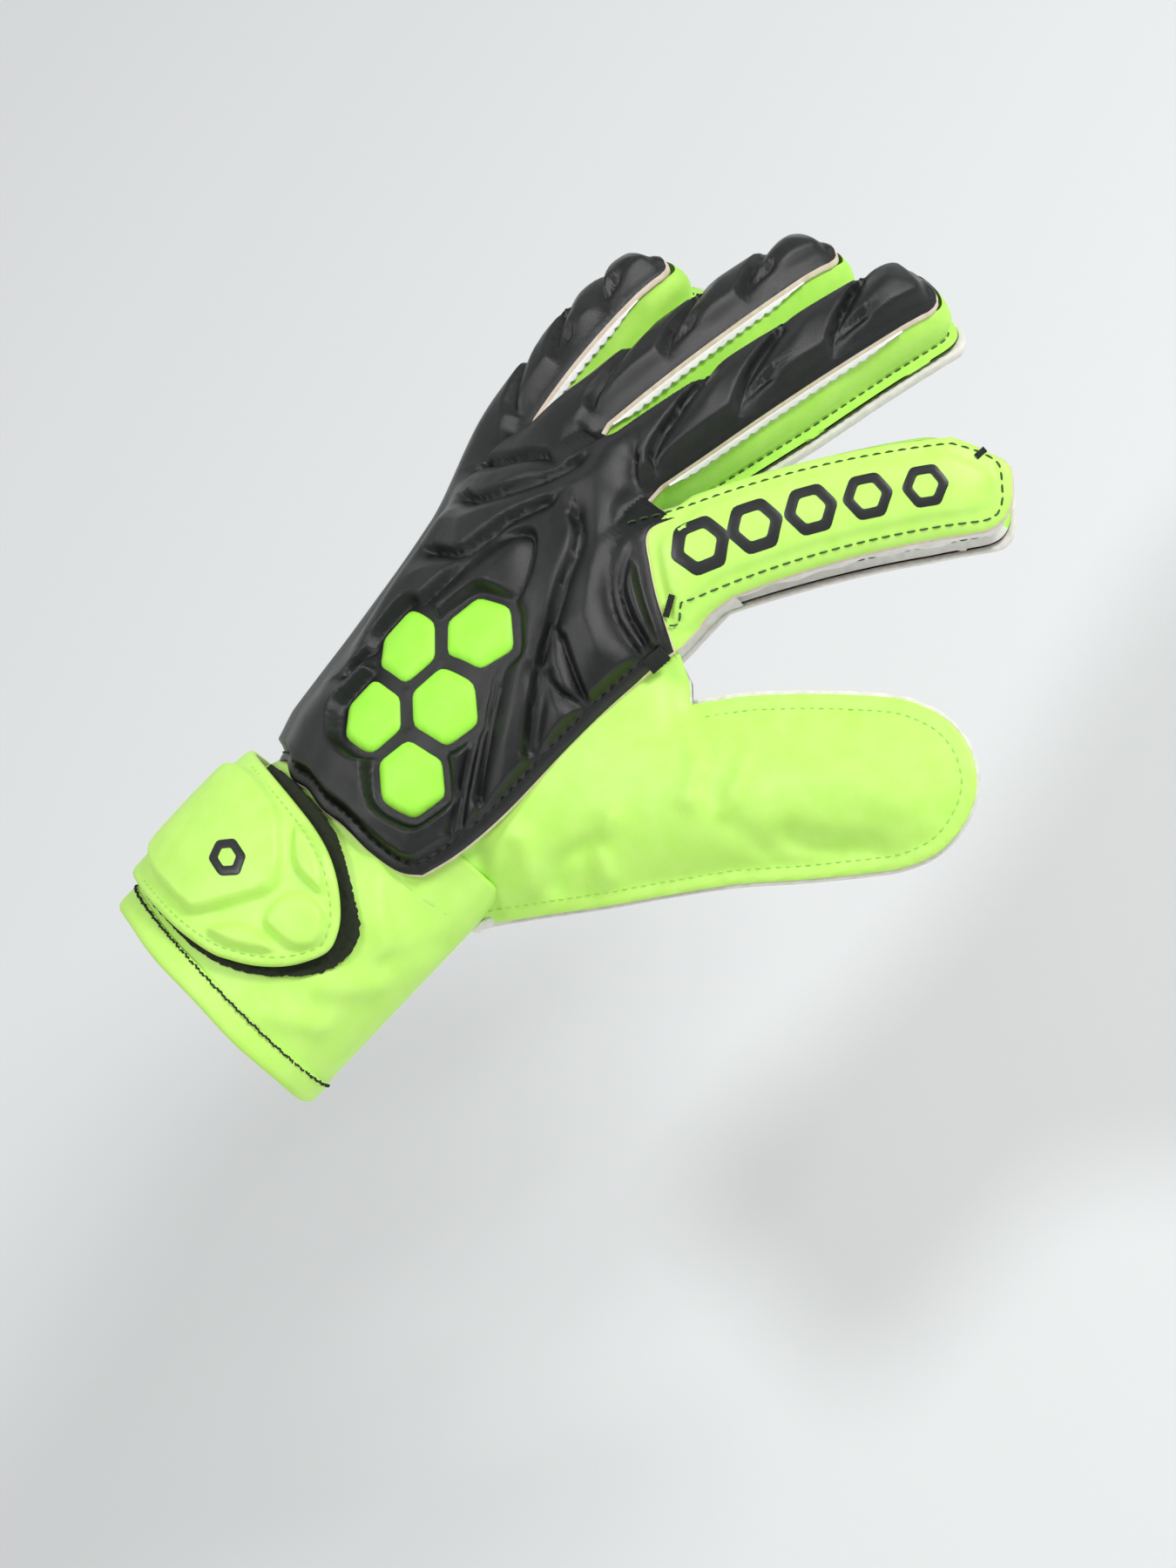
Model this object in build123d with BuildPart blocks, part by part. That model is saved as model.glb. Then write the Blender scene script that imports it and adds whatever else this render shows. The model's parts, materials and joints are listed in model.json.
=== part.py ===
"""A left-hand goalkeeper glove in its worn shape, lying palm down on its cuff.

Row frame: +Y from the wrist opening to the fingertips, +X towards the thumb, +Z out of the back of the hand.
The origin is the centre of the flat underside of the cuff, so Z = 0 is the plane the glove rests on.
Each finger is a padded back, side gussets and a foam palm, in two lengths that hinge at the middle joint.
All sizes are millimetres and degrees.
"""

import os
from dataclasses import dataclass
from math import acos, cos, degrees, hypot, radians, sin, tan

from build123d import *

# ---- cuff and strap -----------------------------------------------------------------------------
CUFF_HALF_WIDTH, CUFF_HALF_HEIGHT = 44.0, 29.0  # outside of the wrist tube, an ellipse
CUFF_AXIS_Z = 28.0  # a millimetre under the half height, which leaves the flat the cuff rests on
CUFF_HEM_Y, CUFF_END_Y = -30.0, 25.5
HEM_WIDTH = 7.0
ELASTIC_TOP_Z = 21.0  # the black elastic band closes the cuff below this height
CUFF_WALL, LINING_WALL, PATCH_WALL, STRAP_WALL = 2.4, 0.8, 1.0, 3.4
LAYER_GAP = 0.15  # between layers that are sewn or pressed together

STRAP_ROOT_Z = 30.5
STRAP_TURN = 45.0  # the strap's outline is drawn on a plane turned this far towards the thumb
# outline of the strap on that plane: distance from the cuff axis, then Y
STRAP_OUTLINE = [(-27.6, 22.5), (-14.2, 20.5), (-2.2, 16.6), (7.9, 9.0), (14.0, 1.0), (14.5, -5.0),
                 (8.9, -13.3), (-2.4, -20.8), (-12.0, -23.9), (-24.3, -24.3)]
STRAP_CENTRE = (-14.0, -1.0)  # the outline grows and shrinks about this point
STRAP_REACH = 60.0  # past the root, where the cuff's side ends the strap
HOOK_INSET, LOOP_SHOW = 6.0, 4.0  # the hook patch is smaller than the strap and the loop patch larger

# ---- fingers and thumb --------------------------------------------------------------------------
KNUCKLE_FLEX, KNUCKLE_EXTEND = 65.0, 10.0
MIDDLE_FLEX, MIDDLE_EXTEND = 75.0, 8.0
THUMB_BASE_FLEX, THUMB_BASE_EXTEND = 22.0, 12.0
THUMB_TIP_FLEX, THUMB_TIP_EXTEND = 45.0, 8.0
WRIST_FLEX, WRIST_EXTEND = 25.0, 20.0

BACK_WALL, PALM_WALL, SIDE_WALL = 4.0, 6.0, 1.6  # embossed foam, latex on its cushion foam, gusset cloth
SEAM_UP, SEAM_DOWN = 5.0, 3.8  # the gusset's two seams, above and below the centre of a finger
HINGE_GAP = 0.5  # clearance each side of a hinge
KEEPER_REACH = 17.0  # half height of the prism that trims a length, more than half of any depth
CORNER = 0.44  # corner radius of a finger's cross section, as a share of its depth


@dataclass
class Finger:
    """Hinge points at the knuckle and middle joint, the tip, and the cross section at each."""

    name: str
    knuckle: Vector
    middle: Vector
    tip: Vector
    roll: float  # turn of the back of the finger towards the thumb
    widths: tuple
    depths: tuple


FINGERS = [
    Finger("little", Vector(-47, 107, 38), Vector(-54, 143.5, 35.5), Vector(-66, 200, 28), -2,
           (19, 19, 16), (22, 21, 16)),
    Finger("ring", Vector(-26, 116, 44), Vector(-29.5, 161.5, 36), Vector(-36.5, 232, 12), -1,
           (20, 20, 17), (24, 22, 17)),
    Finger("middle", Vector(-2, 120, 47), Vector(-1.5, 168.7, 35.8), Vector(0, 241, 12), 0,
           (21, 21, 18), (25, 23, 18)),
    Finger("index", Vector(21, 113, 41), Vector(33, 155, 32), Vector(66, 212.5, 11), 3,
           (21.5, 22, 19), (25, 23, 18)),
]

THUMB_ROOT, THUMB_JOINT, THUMB_TIP = Vector(63, 90, 28), Vector(90, 114, 22), Vector(129, 149.5, 13)
THUMB_BACK = Vector(0.457, -0.252, 0.852)  # out of the back of the thumb
THUMB_WIDTHS, THUMB_DEPTHS = (48, 45, 33), (29, 25, 18)

# ---- hand ---------------------------------------------------------------------------------------
# Cross sections of the hand: Y, then (X, Z) of five points round it from the little finger's side
# over the back to the thumb's side and the palm.
HAND_SECTIONS = [
    (34.0, ((-42, 28), (0, 56), (32, 46), (44, 26), (0, 1.5))),
    (62.0, ((-45, 33), (-8, 62), (30, 50), (57, 20), (0, 6))),
    (88.0, ((-53, 36), (-12, 64.5), (32, 55), (57, 28), (-4, 17))),
    (124.0, ((-58, 38), (-13, 62), (22, 56), (37, 40), (-9, 29))),
]
HAND_WALL = 4.0
# height of the seam round the hand, at its little-finger side and its thumb side, for each section
SEAM_HEIGHTS = [(28, 26), (33, 20), (36, 28), (38, 40)]
SEAM_REACH, SEAM_TOP = 90.0, 150.0  # the blocks over the seam run past the hand to this X each way and this Z
SIDE_GUSSET_DEPTH = 9.0
SIDE_GUSSET_X = -20.0
WRIST_GAP = 0.6  # between the hand and the bend line of the wrist
WRIST_Y, WRIST_Z = 33.0, 28.0
# thumb-side edge of the embossed back, in plan
BACK_EDGE = [(34.5, 20.0), (34.5, 28.0), (41.0, 74.5), (40.0, 125.0)]
# five hexagons pressed into the back, in plan: centres, outside radius, turn, and how far they stand proud
INSERT_CENTRES = [(21.0, 49.0), (-1.5, 54.0), (14.5, 70.0), (-9.5, 74.5), (7.0, 90.5)]
INSERT_RADIUS, INSERT_TURN, INSERT_PROUD = 10.4, 16.0, 0.9

# ---- cutting prisms, all larger than what they cut ----------------------------------------------
CUT_SIZE = 400.0  # side of the blocks that cut pieces apart
PAST_FINGER = 60.0  # how far a prism runs past a finger to its sides and above and below it
PAST_TIP = 50.0
FINGER_REMOVER_HALF, THUMB_REMOVER_HALF = 24.0, 40.0  # half widths of what a hinge takes off the hand
HAND_LEFT_X, HAND_RIGHT_X, HAND_PAST_Y = -120.0, 150.0, 140.0


def export(part, name):
    """Labels one finished piece and writes its STEP file."""
    part.label = name
    export_step(part, f"parts/{name}.step")


def only_part(shape):
    """The shape as one Part, whatever collection the last cut left it in."""
    solids = shape.solids()
    return Part(solids[0].wrapped) if len(solids) == 1 else Part(Compound(solids).wrapped)


# ---- cuff ---------------------------------------------------------------------------------------
def cuff_ring(inner, outer, start, end):
    """Elliptical ring between two offsets from the outside of the cuff, from start to end along Y."""
    with BuildPart() as ring:
        with BuildSketch(Plane(origin=(0, start, CUFF_AXIS_Z), x_dir=(-1, 0, 0), z_dir=(0, 1, 0))):
            Ellipse(CUFF_HALF_WIDTH + outer, CUFF_HALF_HEIGHT + outer)
            Ellipse(CUFF_HALF_WIDTH + inner, CUFF_HALF_HEIGHT + inner, mode=Mode.SUBTRACT)
        extrude(amount=end - start)
    return ring.part


def strap_outline(grow):
    """Prism of the strap's outline, grown or shrunk by grow, running both ways off its drawing plane."""
    turn = radians(STRAP_TURN)
    plane = Plane(origin=(0, 0, CUFF_AXIS_Z), x_dir=(cos(turn), 0, -sin(turn)), z_dir=(sin(turn), 0, cos(turn)))
    outline = []
    for x, y in STRAP_OUTLINE:
        out = hypot(x - STRAP_CENTRE[0], y - STRAP_CENTRE[1])
        outline.append((x + grow * (x - STRAP_CENTRE[0]) / out, y + grow * (y - STRAP_CENTRE[1]) / out))
    first, last = outline[0], outline[-1]
    with BuildPart() as prism:
        with BuildSketch(plane):
            with BuildLine():
                Spline(*outline)
                Line(last, (-STRAP_REACH, last[1]))
                Line((-STRAP_REACH, last[1]), (-STRAP_REACH, first[1]))
                Line((-STRAP_REACH, first[1]), first)
            make_face()
        extrude(amount=2 * STRAP_REACH, both=True)
    return prism.part


def above(z, gap=0.0):
    """Block of everything above a height."""
    return Pos(0, 0, z + gap + CUT_SIZE / 2) * Box(CUT_SIZE, CUT_SIZE, CUT_SIZE)


def below(z, gap=0.0):
    """Block of everything below a height."""
    return Pos(0, 0, z - gap - CUT_SIZE / 2) * Box(CUT_SIZE, CUT_SIZE, CUT_SIZE)


def beside(x, side):
    """Block of everything past an X, towards the thumb for side 1 and the little finger for side -1."""
    return Pos(x + side * CUT_SIZE / 2, 0, 0) * Box(CUT_SIZE, CUT_SIZE, CUT_SIZE)


hem_end = CUFF_HEM_Y + HEM_WIDTH
body_ring = cuff_ring(-CUFF_WALL, 0, hem_end + LAYER_GAP, CUFF_END_Y)
cuff_back = only_part(body_ring & above(ELASTIC_TOP_Z, LAYER_GAP))
cuff_elastic = only_part((body_ring & below(ELASTIC_TOP_Z)) & above(0))
hem_binding = only_part(cuff_ring(-CUFF_WALL - LINING_WALL - LAYER_GAP, 0, CUFF_HEM_Y, hem_end) & above(0))
lining_out = -CUFF_WALL - LAYER_GAP
cuff_lining = cuff_ring(lining_out - LINING_WALL, lining_out, hem_end + LAYER_GAP, CUFF_END_Y)

loop_out = LAYER_GAP + PATCH_WALL
hook_out = loop_out + LAYER_GAP + PATCH_WALL
strap_in = hook_out + LAYER_GAP
loop_patch = only_part(cuff_ring(LAYER_GAP, loop_out, hem_end, CUFF_END_Y) & strap_outline(LOOP_SHOW)
                       & above(STRAP_ROOT_Z + HOOK_INSET))
hook_patch = only_part(cuff_ring(loop_out + LAYER_GAP, hook_out, CUFF_HEM_Y, CUFF_END_Y) & strap_outline(-HOOK_INSET)
                       & above(STRAP_ROOT_Z + HOOK_INSET))
strap = only_part(cuff_ring(strap_in, strap_in + STRAP_WALL, CUFF_HEM_Y, CUFF_END_Y) & strap_outline(0)
                  & above(STRAP_ROOT_Z))


# ---- bends --------------------------------------------------------------------------------------
def bend_prism(origin, along, hinge, points, half_width):
    """Prism of points given as (distance along, height above the hinge), centred on the hinge line."""
    with BuildPart() as prism:
        with BuildSketch(Plane(origin=origin, x_dir=along, z_dir=hinge)):
            with BuildLine():
                Polyline(*points, close=True)
            make_face()
        extrude(amount=half_width, both=True)
    return prism.part


def bend_line(flex, extend, reach=PAST_FINGER):
    """Heights and set-backs of one side of a V-shaped bend: below, at and above its hinge."""
    return ((-reach, HINGE_GAP + reach * tan(radians(flex / 2))), (0.0, HINGE_GAP),
            (reach, HINGE_GAP + reach * tan(radians(extend / 2))))


def length_keeper(origin, along, hinge, length, start, end):
    """Prism that keeps one length of a finger, with room to bend at its start and, if given, its end."""
    points = [(setback, height) for height, setback in bend_line(*start, KEEPER_REACH)]
    if end:
        points += [(length - setback, height) for height, setback in reversed(bend_line(*end, KEEPER_REACH))]
    else:
        points += [(length + PAST_TIP, KEEPER_REACH), (length + PAST_TIP, -KEEPER_REACH)]
    return bend_prism(origin, along, hinge, points, PAST_FINGER)


def beyond_bend(origin, along, hinge, limits, half_width):
    """Prism of everything past a hinge, less the room the bend needs on the near side."""
    points = [(-setback, height) for height, setback in bend_line(*limits)]
    points += [(PAST_FINGER + PAST_TIP, PAST_FINGER), (PAST_FINGER + PAST_TIP, -PAST_FINGER)]
    return bend_prism(origin, along, hinge, points, half_width)


# ---- lengths of finger --------------------------------------------------------------------------
def stations(length, closed):
    """Distance and size factor of each cross section of a length; a closed one has a rounded tip."""
    if not closed:
        return [(0.0, 0.0, 1.0), (length, 1.0, 1.0)]
    tip_round = 9.0
    start = length - tip_round
    dome = [(start + tip_round * sin(radians(t)), 1.0, cos(radians(t)) ** 0.7) for t in (25, 50, 68, 80)]
    return [(0.0, 0.0, 1.0), (start, 1.0, 1.0)] + dome


def loft_length(frame, length, widths, depths, closed, inset=(0.0, 0.0, 0.0)):
    """Solid length of finger; inset is how far its back, palm and sides are moved in."""
    back, palm, side = inset
    tip_inset = max(back, side)
    with BuildPart() as solid:
        for distance, share, scale in stations(length - tip_inset if closed else length, closed):
            width = (widths[0] + (widths[1] - widths[0]) * share) * scale - 2 * side * scale
            depth = (depths[0] + (depths[1] - depths[0]) * share) * scale - (back + palm) * scale
            with BuildSketch(frame.offset(distance)):
                with Locations((0, (palm - back) * scale / 2)):
                    RectangleRounded(width, depth, CORNER * min(width, depth))
        loft(ruled=closed)
    return solid.part


def hollow_length(origin, along, across, length, widths, depths, closed):
    """Hollow length of finger as (solid skin, its frame)."""
    frame = Plane(origin=origin, x_dir=-across, z_dir=along)
    outer = loft_length(frame, length, widths, depths, closed)
    inner = loft_length(frame, length, widths, depths, closed, (BACK_WALL, PALM_WALL, SIDE_WALL))
    return outer - inner, frame


def band(frame, low, high, length):
    """Slab of a length of finger between two heights above its centre."""
    tall = high - low
    return (frame.offset(length / 2).location * Pos(0, low + tall / 2, 0)
            * Box(2 * PAST_FINGER, tall, length + 2 * PAST_FINGER))


def finger_pieces(prefix, skin, frame, keeper, length, gussets):
    """Cuts one skin into its back, palm and gussets and exports them."""
    skin = skin & keeper
    export(only_part(skin & band(frame, SEAM_UP + LAYER_GAP, PAST_FINGER, length)), f"{prefix}_back")
    export(only_part(skin & band(frame, -PAST_FINGER, -SEAM_DOWN - LAYER_GAP, length)), f"{prefix}_palm")
    sides = (skin & band(frame, -SEAM_DOWN, SEAM_UP, length)).solids()
    if gussets == 1:
        export(only_part(Compound(sides)), f"{prefix}_gusset")
        return
    sides = sorted(sides, key=lambda s: frame.to_local_coords(s.center()).X)
    for solid, side in zip(sides, ("thumbside", "littleside")):
        export(only_part(solid), f"{prefix}_gusset_{side}")


def across_of(along, roll):
    """Unit vector across a finger towards the thumb side, square to along."""
    r = radians(roll)
    flat = Vector(cos(r), 0, -sin(r))
    return (flat - along * flat.dot(along)).normalized()


os.makedirs("parts", exist_ok=True)
removers = []  # what each hinge takes off the far edge of the hand
for finger in FINGERS:
    first, second = finger.middle - finger.knuckle, finger.tip - finger.middle
    across = across_of(first.normalized(), finger.roll)
    worn_bend = degrees(acos(first.normalized().dot(second.normalized())))
    knuckle_limits, middle_limits = (KNUCKLE_FLEX, KNUCKLE_EXTEND), (MIDDLE_FLEX + worn_bend, MIDDLE_EXTEND)
    removers.append(beyond_bend(finger.knuckle, first.normalized(), across, knuckle_limits,
                                FINGER_REMOVER_HALF))

    skin, frame = hollow_length(finger.knuckle, first.normalized(), across, first.length,
                                finger.widths[:2], finger.depths[:2], closed=False)
    keeper = length_keeper(finger.knuckle, first.normalized(), across, first.length, knuckle_limits, middle_limits)
    finger_pieces(f"{finger.name}_1", skin, frame, keeper, first.length, gussets=2)

    second_across = (across - second.normalized() * across.dot(second.normalized())).normalized()
    skin, frame = hollow_length(finger.middle, second.normalized(), second_across, second.length,
                                finger.widths[1:], finger.depths[1:], closed=True)
    keeper = length_keeper(finger.middle, second.normalized(), across, second.length, middle_limits, None)
    finger_pieces(f"{finger.name}_2", skin, frame, keeper, second.length, gussets=1)

# ---- thumb --------------------------------------------------------------------------------------
thumb_along = (THUMB_JOINT - THUMB_ROOT).normalized()
thumb_across = thumb_along.cross(THUMB_BACK).normalized()
base_limits, tip_limits = (THUMB_BASE_FLEX, THUMB_BASE_EXTEND), (THUMB_TIP_FLEX, THUMB_TIP_EXTEND)
removers.append(beyond_bend(THUMB_ROOT, thumb_along, thumb_across, base_limits, THUMB_REMOVER_HALF))
for prefix, low, high, size, limits, closed in (
    ("thumb_1", THUMB_ROOT, THUMB_JOINT, slice(0, 2), (base_limits, tip_limits), False),
    ("thumb_2", THUMB_JOINT, THUMB_TIP, slice(1, 3), (tip_limits, None), True),
):
    reach = high - low
    along = reach.normalized()
    across = (thumb_across - along * thumb_across.dot(along)).normalized()
    skin, frame = hollow_length(low, along, across, reach.length, THUMB_WIDTHS[size], THUMB_DEPTHS[size], closed)
    skin = skin & length_keeper(low, along, thumb_across, reach.length, *limits)
    export(only_part(skin & band(frame, LAYER_GAP, PAST_FINGER, reach.length)), f"{prefix}_back")
    export(only_part(skin & band(frame, -PAST_FINGER, 0.0, reach.length)), f"{prefix}_palm")


# ---- hand ---------------------------------------------------------------------------------------
def hand_solid(grow):
    """Solid of the hand through its cross sections, with every section grown or shrunk by grow."""
    with BuildPart() as solid:
        for y, points in HAND_SECTIONS:
            middle_x = sum(x for x, _ in points) / len(points)
            middle_z = sum(z for _, z in points) / len(points)
            moved = []
            for x, z in points:
                out = hypot(x - middle_x, z - middle_z)
                share = 1 + grow / out
                moved.append((-(middle_x + (x - middle_x) * share), middle_z + (z - middle_z) * share))
            with BuildSketch(Plane(origin=(0, y, 0), x_dir=(-1, 0, 0), z_dir=(0, 1, 0))):
                with BuildLine():
                    Spline(*moved, periodic=True)
                make_face()
        loft()
    return solid.part


def over_seam(lower):
    """Block of everything above the seam round the hand, dropped by lower."""
    with BuildPart() as block:
        for (y, points), (ulnar_z, radial_z) in zip(HAND_SECTIONS, SEAM_HEIGHTS):
            (ulnar_x, _), (radial_x, _) = points[0], points[3]
            slope = (radial_z - ulnar_z) / (radial_x - ulnar_x)
            left = ulnar_z - lower + slope * (-SEAM_REACH - ulnar_x)
            right = ulnar_z - lower + slope * (SEAM_REACH - ulnar_x)
            with BuildSketch(Plane(origin=(0, y, 0), x_dir=(-1, 0, 0), z_dir=(0, 1, 0))):
                with BuildLine():
                    Polyline((SEAM_REACH, left), (SEAM_REACH, SEAM_TOP), (-SEAM_REACH, SEAM_TOP),
                             (-SEAM_REACH, right), close=True)
                make_face()
        loft(ruled=True)
    return block.part


def plan_prism(edge, far_x):
    """Upright prism, in plan from an edge that runs away from the wrist to an X past the hand."""
    (first_x, _), (last_x, _) = edge[0], edge[-1]
    points = [(far_x, 0), (far_x, HAND_PAST_Y), (last_x, HAND_PAST_Y)] + edge[::-1] + [(first_x, 0)]
    with BuildPart() as prism:
        with BuildSketch(Plane.XY.offset(-CUT_SIZE / 2)):
            with BuildLine():
                Polyline(*points, close=True)
            make_face()
        extrude(amount=CUT_SIZE)
    return prism.part


palm_gap = WRIST_GAP + PAST_FINGER * tan(radians(WRIST_FLEX / 2))
back_gap = WRIST_GAP + PAST_FINGER * tan(radians(WRIST_EXTEND / 2))
wrist_cut = bend_prism((0, WRIST_Y, WRIST_Z), Vector(0, 1, 0), Vector(1, 0, 0),
                       [(palm_gap, -PAST_FINGER), (WRIST_GAP, 0.0), (back_gap, PAST_FINGER),
                        (HAND_PAST_Y, PAST_FINGER), (HAND_PAST_Y, -PAST_FINGER)], HAND_RIGHT_X)
hand_skin = (hand_solid(0) - hand_solid(-HAND_WALL)) & wrist_cut
for remover in removers:
    hand_skin = hand_skin - remover

upper = over_seam(0)
thumb_edge = [(x + LAYER_GAP, y) for x, y in BACK_EDGE]
backhand_panel = only_part(hand_skin & upper & plan_prism(BACK_EDGE, HAND_LEFT_X))
thenar_panel = only_part(hand_skin & upper & plan_prism(thumb_edge, HAND_RIGHT_X))
under_skin = hand_skin - over_seam(LAYER_GAP)
side_gusset = only_part(under_skin & over_seam(SIDE_GUSSET_DEPTH) & beside(SIDE_GUSSET_X, -1))
palm_panel = only_part(under_skin - (over_seam(SIDE_GUSSET_DEPTH + LAYER_GAP)
                                     & beside(SIDE_GUSSET_X + LAYER_GAP, -1)))

insert_skin = hand_solid(INSERT_PROUD + LAYER_GAP) - hand_solid(LAYER_GAP)
for number, (x, y) in enumerate(INSERT_CENTRES, 1):
    with BuildPart() as insert:
        with BuildSketch(Plane.XY.offset(CUFF_AXIS_Z)):
            with Locations((x, y)):
                RegularPolygon(INSERT_RADIUS, 6, rotation=INSERT_TURN)
        extrude(amount=CUT_SIZE)
    export(only_part(insert.part & insert_skin), f"insert_{number}")

for piece, name in (
    (cuff_back, "cuff_back"), (cuff_elastic, "cuff_elastic"), (hem_binding, "hem_binding"),
    (cuff_lining, "cuff_lining"), (loop_patch, "loop_patch"), (hook_patch, "hook_patch"), (strap, "strap"),
    (backhand_panel, "backhand_panel"), (thenar_panel, "thenar_panel"), (side_gusset, "side_gusset"),
    (palm_panel, "palm_panel"),
):
    export(piece, name)
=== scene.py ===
"""Looks of the goalkeeper glove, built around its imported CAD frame.

Lengths are millimetres until a mesh is made.
"""

import json
from math import ceil, cos, pi, radians, sin, sqrt

import bpy
import numpy as np
from mathutils import Matrix, Vector
from mathutils.geometry import delaunay_2d_cdt


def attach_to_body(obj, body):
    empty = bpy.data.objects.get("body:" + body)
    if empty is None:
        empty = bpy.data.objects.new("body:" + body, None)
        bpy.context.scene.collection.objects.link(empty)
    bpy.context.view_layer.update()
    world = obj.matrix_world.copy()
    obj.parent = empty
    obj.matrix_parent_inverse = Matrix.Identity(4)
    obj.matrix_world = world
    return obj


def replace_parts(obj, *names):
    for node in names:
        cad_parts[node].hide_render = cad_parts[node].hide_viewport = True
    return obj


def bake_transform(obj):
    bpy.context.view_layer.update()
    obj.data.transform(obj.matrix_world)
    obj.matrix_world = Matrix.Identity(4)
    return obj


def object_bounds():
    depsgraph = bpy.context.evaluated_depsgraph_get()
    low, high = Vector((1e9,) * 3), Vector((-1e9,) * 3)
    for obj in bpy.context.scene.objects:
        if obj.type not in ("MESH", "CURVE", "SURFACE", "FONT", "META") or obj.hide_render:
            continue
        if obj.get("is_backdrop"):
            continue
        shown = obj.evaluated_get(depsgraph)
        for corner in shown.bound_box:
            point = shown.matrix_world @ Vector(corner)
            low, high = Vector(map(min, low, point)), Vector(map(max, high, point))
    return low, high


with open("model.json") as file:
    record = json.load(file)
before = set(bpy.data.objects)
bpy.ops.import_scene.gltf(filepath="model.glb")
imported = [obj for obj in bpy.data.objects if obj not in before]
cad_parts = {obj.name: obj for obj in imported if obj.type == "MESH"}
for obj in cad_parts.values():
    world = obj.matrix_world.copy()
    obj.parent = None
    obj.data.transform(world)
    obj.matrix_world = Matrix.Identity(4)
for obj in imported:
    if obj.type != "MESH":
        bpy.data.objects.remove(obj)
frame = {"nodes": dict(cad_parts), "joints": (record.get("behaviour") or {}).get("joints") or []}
CAD_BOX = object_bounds()
JOINTS = {j["name"]: j for j in frame["joints"]}
MM = 0.001
CHUNK = 4000  # points measured at a time, to keep memory small


# ---- small maths --------------------------------------------------------------------------------
def unit(v):
    v = np.asarray(v, float)
    return v / np.linalg.norm(v, axis=-1, keepdims=True)


def smooth(t):
    t = np.clip(t, 0, 1)
    return t * t * (3 - 2 * t)


def joint_point(name):
    return np.array(JOINTS[name]["pos_m"]) / MM


def far_end(node, start):
    """Middle of the end of a CAD node that is farthest from start."""
    points = np.array([v.co for v in frame["nodes"][node].data.vertices]) / MM
    reach = np.linalg.norm(points - start, axis=1)
    return points[reach > reach.max() - 1.5].mean(0)


def resample(points, step, closed=False):
    """Points every step or so along a polyline, keeping its corners."""
    points = [np.asarray(p, float) for p in points]
    if closed:
        points = points + [points[0]]
    out = []
    for a, b in zip(points, points[1:]):
        n = max(1, int(ceil(np.linalg.norm(b - a) / step)))
        out += [a + (b - a) * k / n for k in range(n)]
    if not closed:
        out.append(points[-1])
    return np.array(out)


def curve_through(points, step, closed=False):
    """Catmull-Rom curve through points, sampled about every step."""
    p = np.asarray(points, float)
    n = len(p)
    out = []
    for i in range(n if closed else n - 1):
        if closed:
            a, b, c, d = p[i - 1], p[i], p[(i + 1) % n], p[(i + 2) % n]
        else:
            a, b, c, d = p[max(i - 1, 0)], p[i], p[i + 1], p[min(i + 2, n - 1)]
        k = max(1, int(ceil(np.linalg.norm(c - b) / step)))
        for t in np.arange(k) / k:
            out.append(0.5 * (2 * b + (c - a) * t + (2 * a - 5 * b + 4 * c - d) * t**2
                              + (3 * b - a - 3 * c + d) * t**3))
    if not closed:
        out.append(p[-1])
    return np.array(out)


def distance_to(points, lines):
    """Distance from each 2-D point to the nearest of some polylines."""
    best = np.full(len(points), 1e9)
    for line in lines:
        a, b = np.asarray(line[:-1]), np.asarray(line[1:])
        for chunk in range(0, len(points), CHUNK):
            q = points[chunk:chunk + CHUNK, None, :]
            ab = b - a
            t = np.clip(((q - a) * ab).sum(-1) / np.maximum((ab * ab).sum(-1), 1e-9), 0, 1)
            d = np.sqrt((((a + t[..., None] * ab) - q) ** 2).sum(-1)).min(1)
            best[chunk:chunk + CHUNK] = np.minimum(best[chunk:chunk + CHUNK], d)
    return best


def closed_line(outline):
    """An outline with its first point again at its end."""
    return np.concatenate([outline, outline[:1]])


def depth_in(points, outline):
    """Distance of each 2-D point from a closed outline."""
    return distance_to(points, [closed_line(outline)])


def signed_distance(points, line):
    """Distance from each 2-D point to a polyline.

    It is negative on the side of lower x, or of higher y if the line runs across.
    """
    line = np.asarray(line, float)
    run = line[-1] - line[0]
    if (abs(run[1]) >= abs(run[0]) and run[1] < 0) or (abs(run[1]) < abs(run[0]) and run[0] < 0):
        line = line[::-1]
    a, b = line[:-1], line[1:]
    out = np.full(len(points), 1e9)
    low, high = line.min(0) - 30, line.max(0) + 30
    near = np.nonzero(((points > low) & (points < high)).all(1))[0]
    for chunk in np.array_split(near, max(1, len(near) // CHUNK)):
        q = points[chunk, None, :]
        ab = b - a
        t = np.clip(((q - a) * ab).sum(-1) / np.maximum((ab * ab).sum(-1), 1e-9), 0, 1)
        away = q - (a + t[..., None] * ab)
        far = np.sqrt((away**2).sum(-1))
        k = far.argmin(1)
        rows = np.arange(len(chunk))
        side = ab[k, 0] * away[rows, k, 1] - ab[k, 1] * away[rows, k, 0]
        out[chunk] = far[rows, k] * np.where(side > 0, -1, 1)
    return out


def inside(points, polygon):
    """Whether each 2-D point is inside a polygon."""
    x, y = points[:, 0], points[:, 1]
    hit = np.zeros(len(points), bool)
    px, py = polygon[:, 0], polygon[:, 1]
    for i in range(len(polygon)):
        j = i - 1
        crosses = (py[i] > y) != (py[j] > y)
        with np.errstate(divide="ignore", invalid="ignore"):
            at = (px[j] - px[i]) * (y - py[i]) / (py[j] - py[i]) + px[i]
        hit ^= crosses & (x < at)
    return hit


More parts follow.
